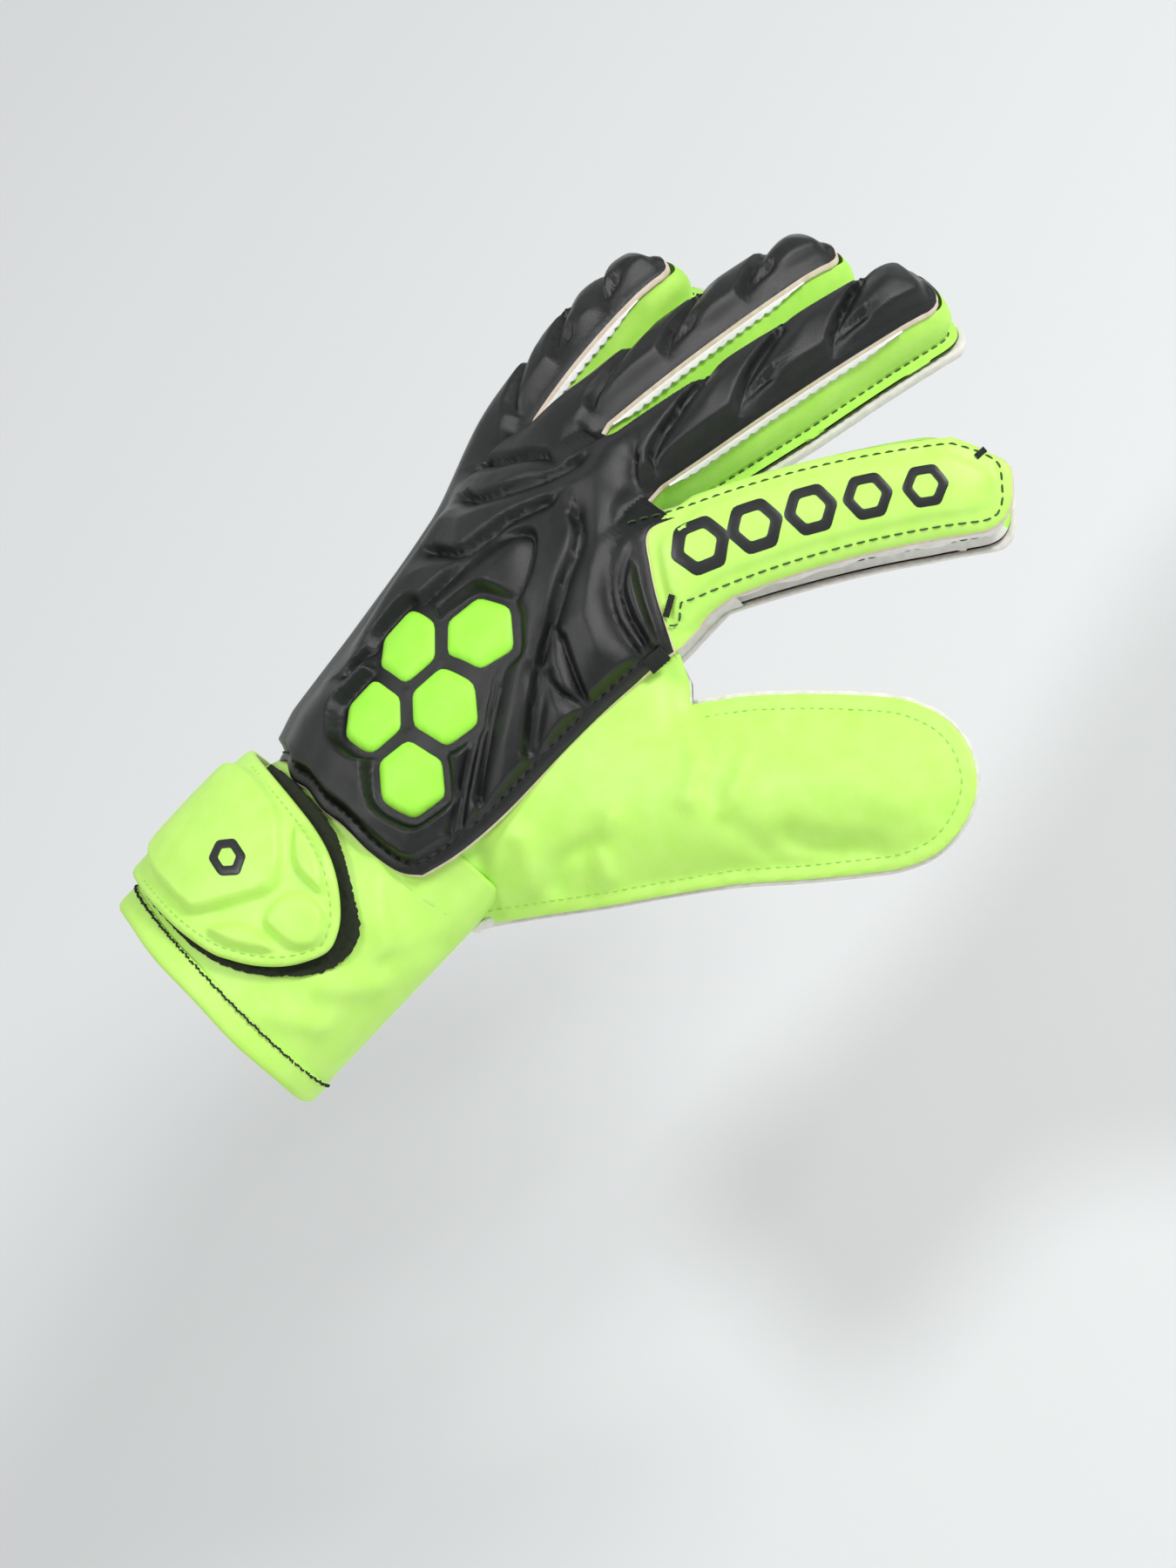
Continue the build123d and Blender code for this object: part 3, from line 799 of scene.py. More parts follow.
def hexagon(centre, radius, turn=HEX_TURN, corner=0.16, step=1.0):
    """Outline of a hexagon with slightly rounded corners."""
    tips = [np.array([cos(turn + k * pi / 3), sin(turn + k * pi / 3)]) * radius for k in range(6)]
    pts = []
    for k in range(6):
        before, here, after = tips[k - 1], tips[k], tips[(k + 1) % 6]
        for t in (0.0, 0.5, 1.0):
            a, b = here + (before - here) * corner, here + (after - here) * corner
            pts.append((1 - t) ** 2 * a + 2 * t * (1 - t) * here + t * t * b)
    return resample(np.array(pts) + centre, step, closed=True)


HEX_OUTLINES = [hexagon(HEX_FIRST + HEX_ACROSS * i + HEX_AHEAD * j, HEX_RADIUS) for i, j in HEX_PLACES]


def finger_groove(ray, curve):
    web = WEBS[min(RAYS.index(ray), 2)]
    pts = [(u * PANEL_HALF[ray.name], web + t * (ray.tip_q - web)) for u, t in curve]
    pts = np.array([(p + float(ray.centre(q)), q) for p, q in pts])
    return curve_through(pts, 1.0)


BLACK_OUTLINE = black_outline()
GROOVES = [curve_through(g, 1.0) for g in HAND_GROOVES]
GROOVES += [finger_groove(ray, g) for ray in RAYS[:3] for g in FINGER_GROOVES]
GROOVE_STEEP, GROOVE_SOFT, PAD_RISE, BORDER = 0.85, 2.9, 3.5, 3.2
NUBS = [(ray.centre(ray.tip_q) + PANEL_SHIFT[ray.name] + 4.5, ray.tip_q + PANEL_REACH[ray.name] - 3.2)
        for ray in RAYS[:3]]


def black_emboss(points, depth):
    """How far the black back stands out: pads between grooves, a flat border, and wells round the inserts."""
    groove = distance_to(points, GROOVES)
    well = distance_to(points, [closed_line(o) for o in HEX_OUTLINES])
    in_hex = np.zeros(len(points), bool)
    for o in HEX_OUTLINES:
        in_hex |= inside(points, o)
    well = np.where(in_hex, 0, well)
    on_finger = smooth((points[:, 1] - 132) / 14)
    outer_side = smooth((-38 - points[:, 0]) / 6) * smooth((points[:, 1] - 42) / 10)
    border = BORDER + (1.5 - BORDER) * np.maximum(on_finger, outer_side)
    edge = np.maximum(depth - border, 0)
    pads = np.ones(len(points))
    for line in GROOVES:
        far = signed_distance(points, line)
        steep = 1 - np.exp(-(far / GROOVE_STEEP) ** 2)
        soft = 1 - np.exp(-(np.maximum(far, 0) / GROOVE_SOFT) ** 1.3)
        pads *= np.where(far < 0, steep, soft)
    rims = smooth(edge / (1.7 + 0.9 * on_finger))
    wells = smooth((well - 1.6) / 1.9)
    crown = 1.5 * smooth(groove / 11) * smooth(edge / 11)
    nub = sum(np.exp(-(((points - nub) / (3.6, 2.2)) ** 2).sum(-1) ** 2) for nub in np.array(NUBS))
    return PAD_RISE * pads * rims * wells + crown * wells + 1.7 * nub - 0.5 * np.exp(-(depth / 0.8) ** 2)


def black_top(points, depth):
    return on_back(points, black_emboss(points, depth))


def black_bottom(points, depth):
    return on_back(points, 0.5 - FOAM)


def pattern_groups(points):
    return finger_groups(points[:, 0], points[:, 1])


FINE = 0.85
black = Piece("backhand", [BLACK, BEIGE])
hex_rims = [closed_line(o) for o in HEX_OUTLINES]
add_sheet(black, BLACK_OUTLINE, FINE, black_top, black_bottom, pattern_groups, GROOVES + hex_rims)
made = black.build("black_backhand")
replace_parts(made["hand"], "backhand_panel")
for name in RAY_NAMES[:3]:
    replace_lengths(made, name, "back")

# ---- lime inserts -------------------------------------------------------------------------------
def insert_top(points, depth):
    return on_back(points, 0.5 + 0.75 * smooth(depth / 1.6) + 0.15 * smooth(depth / 7))


def insert_bottom(points, depth):
    return on_back(points, -0.6)


INSERT_GAP = 0.7  # from an insert's edge to the rim of its well
for number, outline in enumerate(HEX_OUTLINES, 1):
    shape = Piece(f"insert_{number}_pad", [INSERT])
    cut = hexagon(outline.mean(0), HEX_RADIUS - INSERT_GAP)
    add_sheet(shape, cut, 1.0, insert_top, insert_bottom, lambda pts: ["hand"] * len(pts), slots=(0, 0, 0))
    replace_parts(shape.build("lime_insert")["hand"], f"insert_{number}")

# ---- index panel --------------------------------------------------------------------------------
def index_outline():
    finger = finger_outline(INDEX_RAY, PANEL_HALF["index"], 150.0, PANEL_REACH["index"], squareness=0.75)
    lower = curve_through([(41.5, 126.0), (43.5, 128.5), (42.0, 134.0), (38.5, 142.0), tuple(finger[0])],
                          1.2)
    tucked = curve_through([tuple(finger[-1]), (9.5, 143.0), (11.5, 137.0), (16.0, 132.0), (26.5, 129.0),
                            (37.0, 127.0),
                            (41.5, 126.0)], 1.2)
    return np.concatenate([lower[:-1], finger, tucked[1:-1]])


INDEX_OUTLINE = index_outline()
INDEX_EDGE = 4.2  # width of the flat border round the index panel
INDEX_SINK = 0.6  # the index panel lies this much lower than the black back


def index_lift(points, depth):
    far = distance_to(points, [curve_through(INDEX_BORDER, 1.2)])
    pad = smooth((depth - INDEX_EDGE) / 2.2) * smooth((far - 1.5) / 3.0)
    return 1.25 * pad + 0.35 * smooth((depth - INDEX_EDGE) / 8) - 0.5 * np.exp(-(depth / 0.8) ** 2)


def index_top(points, depth):
    under = 1.8 * smooth((139.0 + 0.16 * (25 - points[:, 0]) - points[:, 1]) / 6)
    return on_back(points, index_lift(points, depth) - INDEX_SINK - under * 0.5, INDEX_RAY)


def index_bottom(points, depth):
    return on_back(points, -FOAM, INDEX_RAY)


index = Piece("index_panel", [LIME, BEIGE])
add_sheet(index, INDEX_OUTLINE, FINE * 1.25, index_top, index_bottom,
          lambda points: finger_groups(points[:, 0], points[:, 1], INDEX_RAY))
made = index.build("lime_panel")
replace_lengths(made, "index", "back")


# ---- gridded sheets ------------------------------------------------------------------------------
def add_shell(piece, outer, inner, labels, slot=0, wrap=False):
    """Adds a closed sheet between two grids of points of one shape. labels is one group, or one per cell."""
    rows, cols = outer.shape[:2]
    n = rows * cols
    index = np.arange(n).reshape(rows, cols)
    if wrap:
        index = np.concatenate([index, index[:, :1]], axis=1)
        cols += 1
    cells = [(i, j) for i in range(rows - 1) for j in range(cols - 1)]
    quads = [(index[i, j], index[i + 1, j], index[i + 1, j + 1], index[i, j + 1]) for i, j in cells]
    flat = outer.reshape(-1, 3)
    away = flat - inner.reshape(-1, 3)
    q = np.array(quads)
    facing = np.cross(flat[q[:, 2]] - flat[q[:, 0]], flat[q[:, 3]] - flat[q[:, 1]])
    if (facing * away[q].mean(1)).sum() < 0:
        quads = [f[::-1] for f in quads]
    names = [labels] * len(quads) if isinstance(labels, (str, tuple)) else [labels[i][j] for i, j in cells]
    owner = {}
    for k, f in enumerate(quads):
        for a, b in zip(f, f[1:] + f[:1]):
            owner[(a, b)] = k
    rim = [(a, b, k) for (a, b), k in owner.items() if (b, a) not in owner]
    faces = quads + [tuple(v + n for v in f[::-1]) for f in quads] + [(b, a, a + n, b + n) for a, b,
                                                                      _ in rim]
    piece.add(np.concatenate([flat, inner.reshape(-1, 3)]), faces, slot, names + names
              + [names[k] for _, _, k in rim])


def grid_normals(grid):
    """Unit normals of a grid of points."""
    normals = np.cross(np.gradient(grid, axis=0), np.gradient(grid, axis=1))
    return unit(normals + 1e-9)


def tube_along(points, radius, sides=6):
    """Grid of points round a path, for threads and beads."""
    points = np.asarray(points, float)
    way = unit(np.gradient(points, axis=0) + 1e-9)
    ref = np.array([0.31, 0.17, 0.94])
    a = unit(np.cross(way, ref))
    b = np.cross(way, a)
    turn = np.linspace(0, 2 * pi, sides, endpoint=False)
    return (points[:, None] + radius * (np.cos(turn)[None, :, None] * a[:, None]
                                        + np.sin(turn)[None, :, None] * b[:, None]))


def add_tube(piece, points, radius, label, slot=0, sides=6):
    """Adds a thread or bead along a path, with flat closed ends."""
    ring = tube_along(points, radius, sides)
    rows = len(ring)
    verts = ring.reshape(-1, 3)
    faces = [(i * sides + j, i * sides + (j + 1) % sides, (i + 1) * sides + (j + 1) % sides,
              (i + 1) * sides + j)
             for i in range(rows - 1) for j in range(sides)]
    faces.append(tuple(range(sides))[::-1])
    faces.append(tuple((rows - 1) * sides + j for j in range(sides)))
    a, b, c = verts[faces[0][0]], verts[faces[0][1]], verts[faces[0][2]]
    if np.dot(np.cross(b - a, c - a), a - points[0]) < 0:
        faces = [f[::-1] for f in faces]
    piece.add(verts, faces, slot, [label] * len(faces))


def add_dashes(piece, points, normals, labels, dash=2.1, gap=1.3, radius=0.28, sink=0.05, slot=0):
    """Adds stitches along a path on a surface: short threads that dip into it at both ends."""
    points, normals = np.asarray(points, float), np.asarray(normals, float)
    reach = np.concatenate([[0], np.cumsum(np.linalg.norm(np.diff(points, axis=0), axis=1))])
    start = 0.5
    while start + dash < reach[-1]:
        at = np.linspace(start, start + dash, 5)
        lift = (np.sin(np.linspace(0, pi, 5)) * (radius * 1.5) - sink - radius * 0.5)[:, None]
        path = np.stack([np.interp(at, reach, points[:, k]) for k in range(3)], -1)
        out = unit(np.stack([np.interp(at, reach, normals[:, k]) for k in range(3)], -1))
        label = labels if isinstance(labels,
                                     (str, tuple)) else labels[min(int(np.searchsorted(reach, at[2])),
                                                                   len(labels) - 1)]
        add_tube(piece, path + out * lift, radius, label, slot)
        start += dash + gap


# ---- finger walls and palms ------------------------------------------------------------------------
PALM_EDGE, PALM_DEEP = -6.0, -13.3
WALL_ROWS, FLANGE_ROWS = 7, 3


def web_of(ray):
    return WEBS[min(RAYS.index(ray), 2)]


PALM_NARROW = {"little": 10.6, "ring": 10.6, "middle": 11.5, "index": 11.5}


def palm_widening(ray, q):
    full = FINGER_HALF[ray.name] + 1.3
    return np.minimum(PALM_NARROW[ray.name] + 0.06 * np.maximum(q - web_of(ray), 0),
                      full) / PALM_NARROW[ray.name]


def palm_narrow(ray, q):
    """Half width of a finger's palm in the flat pattern, where neighbours may not overlap."""
    return PALM_NARROW[ray.name] * (1 - 0.1 * smooth((q - ray.middle_q) / (ray.tip_q - ray.middle_q)))


def palm_half(ray, q):
    """Half width of a finger's palm along its length."""
    return palm_narrow(ray, q) * palm_widening(ray, q)


def finger_loop(ray, half, start_thumb, start_little, reach, shift=0.0, side_points=60, tip_points=22,
                squareness=0.6):
    """Plan outline of a finger from its thumb side, round the tip, to its little side.

    It always has the same number of points. half gives the half width at each q.
    """
    tip = ray.tip_q + reach - (1.2 if ray.name == "index" else 0)
    corner = float(half(np.array(tip))) * 0.95
    up_q = np.linspace(start_thumb, tip - corner, side_points)
    down_q = np.linspace(tip - corner, start_little, side_points)
    turn = np.linspace(0, pi, tip_points + 2)[1:-1]
    tip_u = np.sign(np.cos(turn)) * np.abs(np.cos(turn)) ** squareness
    tip_q = tip - corner + corner * np.sin(turn) ** squareness
    q = np.concatenate([up_q, tip_q, down_q])
    u = np.concatenate([half(up_q), tip_u * half(tip_q), -half(down_q)])
    return np.stack([u * slant(ray, u, q) + ray.centre(q) + shift, q], -1)


def plan_normals(loop):
    way = np.gradient(loop, axis=0)
    return unit(np.stack([way[:, 1], -way[:, 0]], -1))


def panel_half(ray):
    full = PANEL_HALF[ray.name]
    return lambda q: full * (1 - PANEL_TAPER * smooth((q - ray.middle_q) / (ray.tip_q - ray.middle_q)))


def wall_grid(ray, start_thumb, start_little):
    """Grid of the wall round a finger: rows go from under the back panel to the palm's edge."""
    top = finger_loop(ray, lambda q: panel_half(ray)(q) - 0.8, start_thumb, start_little,
                      PANEL_REACH[ray.name] - 0.8,
                      PANEL_SHIFT[ray.name])
    low = finger_loop(ray, lambda q: palm_half(ray, q) - 0.5, start_thumb, start_little, 4.0)
    normal = plan_normals(low)
    flange = low - normal * 3.2
    top_h = back_height(top[:, 0], top[:, 1], ray) - FOAM + 0.2
    top_h = np.maximum(top_h, PALM_EDGE + 5.0)
    rows = []
    seed = RAYS.index(ray)
    along = np.arange(len(low))
    for t in np.linspace(0, 1, WALL_ROWS):
        plan = top * (1 - t) + flange * t
        ripple = 0.35 * np.sin(along * 0.55 + seed + 2.2 * t) + 0.25 * np.sin(along * 0.23 + 3 * seed)
        plan = plan + normal * ((1.5 + ripple) * sin(pi * t))[:, None]
        rows.append((plan, top_h * (1 - t) + (PALM_EDGE + 1.6) * t))
    for t in np.linspace(0, 1, FLANGE_ROWS + 1)[1:]:
        rows.append((flange * (1 - t) + low * t,
                     np.full(len(low), PALM_EDGE + 1.6 * (1 - t) ** 1.5 + 0.15)))
    return rows


PALE_COLUMNS = 66  # the index finger's wall is cream from the thumb side to just past its tip
WALL_STARTS = {"little": (101.0, 139.0), "ring": (110.0, 110.0), "middle": (114.0, 114.0),
               "index": (147.0, 107.0)}
finger_walls = {}
for ray in RAYS:
    rows = wall_grid(ray, *WALL_STARTS[ray.name])
    grid = np.stack([place(plan[:, 0], plan[:, 1], h, ray) for plan, h in rows])
    centre = place(ray.centre(rows[-1][0][:, 1]), rows[-1][0][:, 1], -2.0, ray)
    inner = grid + unit(centre[None] - grid) * 0.9
    finger_walls[ray.name] = (rows, grid)
    wall = Piece(f"{ray.name}_gusset", [GUSSET, LATEX])
    between = (rows[-1][0][:-1] + rows[-1][0][1:]) / 2
    labels = finger_groups(between[:, 0], between[:, 1], ray)
    add_shell(wall, grid, inner, [labels] * (len(rows) - 1))
    if ray.name == "index":
        columns = grid.shape[1]
        wall.slots = [int(min(f) % columns < PALE_COLUMNS) for f in wall.faces]
    made = wall.build("lime_gusset")
    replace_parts(made[(ray.name, "base")], f"{ray.name}_1_gusset_thumbside",
                f"{ray.name}_1_gusset_littleside")
    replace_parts(made[(ray.name, "end")], f"{ray.name}_2_gusset")

PALM_ULNAR = ([31, 62, 88, 112, 144], [-44, -48, -54, -57.5, -57.2])
PALM_RADIAL = ([31, 60, 90, 115, 132, 147], [44, 44.5, 45, 44, 40.5, 36.0])
# along the hand: how far along, (x, z) of the little-finger edge, (x, z) of the thumb edge, lowest z
PALM_STATIONS = [(28, (-42.4, 19), (37, 11), -0.7), (44, (-43, 20), (43, 11), 1.0),
                 (62, (-45, 22), (52, 11), 4),
                 (88, (-50, 25), (58, 17), 15), (112, (-55, 29), (46, 32), 26),
                 (130, (-58, 33), (44, 34), 27)]
PALM_THICK = 3.6


def hand_palm_point(p, q, lift):
    at = [s[0] for s in PALM_STATIONS]
    low_p = np.interp(q, *PALM_ULNAR)
    high_p = np.interp(q, *PALM_RADIAL)
    xi = np.clip((p - low_p) / (high_p - low_p), 0, 1)
    xu, zu = (np.interp(q, at, [s[1][k] for s in PALM_STATIONS]) for k in (0, 1))
    xr, zr = (np.interp(q, at, [s[2][k] for s in PALM_STATIONS]) for k in (0, 1))
    low = np.interp(q, at, [s[3] for s in PALM_STATIONS])
    bow = 1 - np.abs(2 * xi - 1) ** 2.6
    z = zu + (zr - zu) * xi
    z = z - ((zu + zr) / 2 - low) * bow + lift
    return np.stack([xu + (xr - xu) * xi, q, z], -1)


def palm_depth(p, q, edge, deep):
    """Height of the palm below the fingers' centre lines."""
    idx = ray_index(p, q)
    out = np.zeros_like(p)
    for i, ray in enumerate(RAYS):
        mine = idx == i
        if not mine.any():
            continue
        own_p, own_q = p[mine], q[mine]
        u = own_p - ray.centre(own_q)
        u = np.clip(u / slant(ray, u, own_q) / (palm_narrow(ray, own_q) + 0.3), -1, 1)
        finger = smooth((own_q - (web_of(ray) - 20)) / 20)
        dome = np.clip((own_q - (ray.tip_q + 3 - TIP_DOME)) / TIP_DOME, 0, 1)
        rounded = np.sqrt(np.maximum(1 - np.abs(u) ** 3, 0)) * np.sqrt(np.maximum(1 - dome**2, 0))
        out[mine] = deep + (edge - deep) * (1 - rounded) * finger
    return out


def palm_point(points, lift, edge, deep):
    p, q = points[:, 0], points[:, 1]
    carried = shares(p, q)
    knuckle = sum(share * ray.knuckle_q for share, ray in zip(carried, RAYS))
    on_finger = smooth((q - (knuckle - 24)) / 32)[:, None]
    h = palm_depth(p, q, edge, deep)
    worn = sum(share[:, None] * ray.at(ray.centre(q) + (p - ray.centre(q)) * palm_widening(ray, q), q, h)
               for share, ray in zip(carried, RAYS))
    return (1 - on_finger) * hand_palm_point(p, q, lift) + on_finger * worn


def palm_outer(points, depth):
    return palm_point(points, 0.0, PALM_EDGE - 3.2, PALM_DEEP)


def palm_inner(points, depth):
    return palm_point(points, PALM_THICK, PALM_EDGE, PALM_EDGE - 3.0)


def palm_outline():
    parts = [curve_through([(-44.0, 31.0), (-22.0, 29.0), (0.0, 28.5), (22.0, 29.0), (44.0, 31.0)], 1.5)]
    side = [(p, q) for q, p in zip(*PALM_RADIAL)]
    parts.append(curve_through(side, 1.5)[1:-1])
    for i in (3, 2, 1, 0):
        ray = RAYS[i]
        start_thumb = PALM_RADIAL[0][-1] if i == 3 else WEBS[i] + 3
        start_little = PALM_ULNAR[0][-1] if i == 0 else WEBS[i - 1] + 3
        loop = finger_loop(ray, lambda q, r=ray: palm_narrow(r, q) + 0.25, start_thumb, start_little, 4.8,
                           side_points=50, tip_points=16)
        parts.append(loop)
        if i:
            near = RAYS[i - 1]
            parts.append([((ray.centre(WEBS[i - 1]) + near.centre(WEBS[i - 1])) / 2, WEBS[i - 1] - 0.5)])
    ulnar = [(p, q) for q, p in zip(*PALM_ULNAR)][::-1]
    parts.append(curve_through(ulnar, 1.5)[1:-1])
    return np.concatenate([np.asarray(p, float) for p in parts])


palm = Piece("palm", [LATEX, BEIGE])
add_sheet(palm, palm_outline(), FINE * 1.9, palm_outer, palm_inner, pattern_groups, slots=(0, 0, 0),
          bead=0.6)
made = palm.build("cream_latex")
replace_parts(made["hand"], "palm_panel")
for name in RAY_NAMES:
    replace_lengths(made, name, "palm")

# side of the hand below the little finger
side_q = np.linspace(30, 143, 80)
ulnar_top = np.interp(side_q, [q for _, q in PANEL_ULNAR[::-1]] + [144], [p for p, _ in PANEL_ULNAR[::-1]]
                      + [-56.1]) + 0.8
top_edge = place(ulnar_top, side_q, back_height(ulnar_top, side_q) - FOAM + 0.2)
low_points = np.stack([np.interp(side_q, *PALM_ULNAR) + 0.3, side_q], -1)
low_edge = palm_inner(low_points, None)
side_rows = []
for t in np.linspace(0, 1, 9):
    row = top_edge * (1 - t) + low_edge * t
    puff = (1.6 + 0.5 * np.sin(side_q * 0.35 + 2 * t)) * sin(pi * t)
    side_rows.append(row + np.stack([-puff, 0 * puff, 0 * puff], -1))
side_grid = np.stack(side_rows)
side = Piece("side_gusset", [GUSSET])
side_labels = pattern_groups((low_points[:-1] + low_points[1:]) / 2)
add_shell(side, side_grid, side_grid + np.array([1.0, 0, 0]), [side_labels] * (len(side_rows) - 1))
made = side.build("lime_gusset")
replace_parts(made["hand"], "side_gusset")


# ---- thumb and thenar: one lime sheet stitched to the palm all round --------------------------------
CHART_STEP = 1.5
CHART_LOW = np.array([-16.0, 22.0])
CHART_SIZE = (80, 100)
CAMERA_NEAR = 1250.0  # how far off the outline below was judged from, and the height it was judged at
CHART_PLANE, CHART_CENTRE = 35.4, np.array([-7.07, 105.0])
# outline of the lime sheet in the thumb's chart: along the sheet, along the hand, height of its edge
THUMB_OUTLINE = [
    (18.6, 115.5, 57.0), (22.5, 120.5, 61.0), (28.9, 128.5, 67.0), (42.0, 141.5, 76.0), (56.6, 154.0, 86.0),
    (65.0, 158.3, 92.0), (72.2, 159.8, 96.5), (79.8, 158.8, 99.5), (86.2, 155.3, 101.5),
    (90.6, 150.6, 102.0),
    (93.4, 144.3, 101.5), (94.4, 138.0, 100.0), (93.9, 131.8, 98.0), (91.2, 125.0, 95.0),
    (86.9, 118.7, 91.5),
    (73.5, 103.0, 83.0), (60.3, 88.6, 74.5), (49.5, 74.5, 66.0), (38.8, 60.0, 57.5), (30.5, 49.5, 49.0),
    (24.2, 41.3, 42.0), (19.5, 35.0, 36.5), (17.5, 31.0, 34.5)]
TUCKED = [(-9.0, 29.0), (-5.0, 50.0), (-5.0, 74.0), (-2.0, 100.0), (1.0, 122.0), (10.0, 121.0)]
FLANGE = 4.3
RELAX_ROUNDS = 2600


class HeightMap:
    """A height over the thumb's chart: a stretched sheet pinned at its edge and puffed up inside it."""

    def __init__(self, outline, edge, swells, inset):
        gx, gy = np.meshgrid(np.arange(CHART_SIZE[0]), np.arange(CHART_SIZE[1]), indexing="ij")
        self.points = np.stack([gx, gy], -1).reshape(-1, 2) * CHART_STEP + CHART_LOW
        within = inside(self.points, outline).reshape(CHART_SIZE)
        depth = depth_in(self.points, outline).reshape(CHART_SIZE)
        nearest = ((self.points[:, None] - outline[None]) ** 2).sum(-1).argmin(1)
        base = edge[nearest].reshape(CHART_SIZE)
        free = within & (depth > CHART_STEP * 0.6)
        self.base = self.relax(base, free, 0)
        puffed = within & (depth > inset)
        swell = np.zeros(CHART_SIZE)
        strength = swells(self.points[:, 0], self.points[:, 1]).reshape(CHART_SIZE)
        self.swell = self.relax(swell, puffed, strength)

    @staticmethod
    def relax(values, free, source):
        values = values.astype(float).copy()
        push = np.broadcast_to(source, values.shape) * CHART_STEP**2 / 4
        for _ in range(RELAX_ROUNDS):
            mean = values.copy()
            mean[1:-1, 1:-1] = (values[2:, 1:-1] + values[:-2, 1:-1] + values[1:-1, 2:]
                                + values[1:-1, :-2]) / 4
            values = np.where(free, mean + push, values)
        return values

    @staticmethod
    def sample(field, s, y):
        fx = np.clip((s - CHART_LOW[0]) / CHART_STEP, 0, CHART_SIZE[0] - 1.001)
        fy = np.clip((y - CHART_LOW[1]) / CHART_STEP, 0, CHART_SIZE[1] - 1.001)
        ix, iy = fx.astype(int), fy.astype(int)
        tx, ty = fx - ix, fy - iy
        return (field[ix, iy] * (1 - tx) * (1 - ty) + field[ix + 1, iy] * tx * (1 - ty)
                + field[ix, iy + 1] * (1 - tx) * ty + field[ix + 1, iy + 1] * tx * ty)


def sleeve_tuck(theta, y):
    """How far the sleeve is drawn in under the back panel."""
    return CUFF_TUCK * smooth((y - 14) / 13) * smooth((np.sin(theta) + 0.35) / 0.6)


CUFF_A, CUFF_B, CUFF_Z = 44.0, 29.0, 28.0
CUFF_TUCK = 4.2


def cuff_point(theta, y, grow=0.0):
    theta, y, grow = np.broadcast_arrays(theta, y, grow)
    out = grow - sleeve_tuck(theta, y)
    return np.stack([(CUFF_A + out) * np.cos(theta), y, CUFF_Z + (CUFF_B + out) * np.sin(theta)], -1)


def cuff_height_at(s, y):
    """Height of the sleeve above the chart at (s, y)."""
    theta = np.radians(np.linspace(-60, 120, 240))
    pts = face_coords(cuff_point(theta, np.full_like(theta, y)))
    order = np.argsort(pts[:, 0])
    return np.interp(s, pts[order, 0], pts[order, 2])


def panel_under_height(s, y):
    """Height in the chart of the underside of the back panel near (s, y)."""
    p, q = np.meshgrid(np.linspace(20, 46, 27), np.linspace(28, 136, 55))
    p, q = p.ravel(), q.ravel()
    pts = face_coords(place(p, q, back_height(p, q) - FOAM - 0.6))
    near = ((pts[:, None, :2] - np.stack([s, y], -1)[None]) ** 2).sum(-1)
    k = np.argsort(near, axis=0)[:4]
    w = 1 / (np.take_along_axis(near, k, 0) + 0.5)
    return (np.take_along_axis(np.broadcast_to(pts[:, 2:3], near.shape), k, 0) * w).sum(0) / w.sum(0)


def thumb_outline(extra=0.0):
    """(outline, heights) of the thumb's sheet, the visible edge moved out by extra."""
    free = np.array(THUMB_OUTLINE)
    scale = (CAMERA_NEAR - (free[:, 2] - CHART_PLANE)) / CAMERA_NEAR
    flat = CHART_CENTRE + (free[:, :2] - CHART_CENTRE) * scale[:, None]
    visible = curve_through(np.column_stack([flat, free[:, 2]]), 1.4)
    if extra:
        way = np.gradient(visible[:, :2], axis=0)
        visible[:, :2] += unit(np.stack([-way[:, 1], way[:, 0]], -1)) * extra
    hidden = curve_through([tuple(visible[-1, :2])] + TUCKED + [tuple(visible[0, :2])], 1.6)[1:-1]
    heights = np.where(hidden[:, 1] < 36, 0.0, panel_under_height(hidden[:, 0], hidden[:, 1]))
    for i in np.nonzero(hidden[:, 1] < 36)[0]:
        heights[i] = cuff_height_at(hidden[i, 0], hidden[i, 1]) + 0.4
    heights[-4:] = np.linspace(heights[-5], visible[0, 2], 6)[1:-1]
    outline = np.concatenate([visible[:, :2], hidden])
    return outline, np.concatenate([visible[:, 2], heights]), len(visible)


def thumb_swell(s, y):
    along = along_thumb(s, y)
    return 0.016 + 0.034 * smooth((along + 12) / 30)


# soft folds in the lime sheet: path in the chart, height, width
FOLDS = [([(24, 108), (30, 104), (34, 97)], 1.1, 3.0), ([(23, 79), (27, 71), (36, 64)], 1.5, 3.2),
         ([(25, 72), (22, 62), (26, 55)], -1.3, 3.0), ([(10, 58), (17, 53), (22, 47)], 1.5, 3.5),
         ([(3, 47), (11, 43), (17, 38)], -1.4, 3.2), ([(60, 108), (68, 112), (76, 119)], -1.6, 4.0),
         ([(38, 113), (41, 107), (43, 101)], 0.9, 2.4), ([(34, 103), (46, 100), (58, 101)], -0.7, 3.5),
         ([(20, 116), (24, 111), (29, 110)], -1.0, 1.6), ([(50, 122), (62, 130), (74, 134)], 0.6, 5.0)]


def thumb_folds(s, y):
    points = np.stack([s, y], -1)
    out = np.zeros(len(points))
    for path, height, width in FOLDS:
        out += 1.5 * height * np.exp(-(distance_to(points, [curve_through(path, 1.0)]) / width) ** 2)
    return out


THUMB_EDGE, THUMB_HEIGHTS, VISIBLE_COUNT = thumb_outline()
THUMB_MAP = HeightMap(THUMB_EDGE, THUMB_HEIGHTS, thumb_swell, FLANGE)


def thumb_height(points, depth):
    s, y = points[:, 0], points[:, 1]
    base = HeightMap.sample(THUMB_MAP.base, s, y)
    swell = HeightMap.sample(THUMB_MAP.swell, s, y)
    folds = thumb_folds(s, y) * smooth((depth - 1.5) / 7)
    return base + swell + folds * smooth(depth / 5)


def thumb_top(points, depth):
    return face_point(points[:, 0], points[:, 1], thumb_height(points, depth)
                      - 0.35 * np.exp(-(depth / 0.7) ** 2))


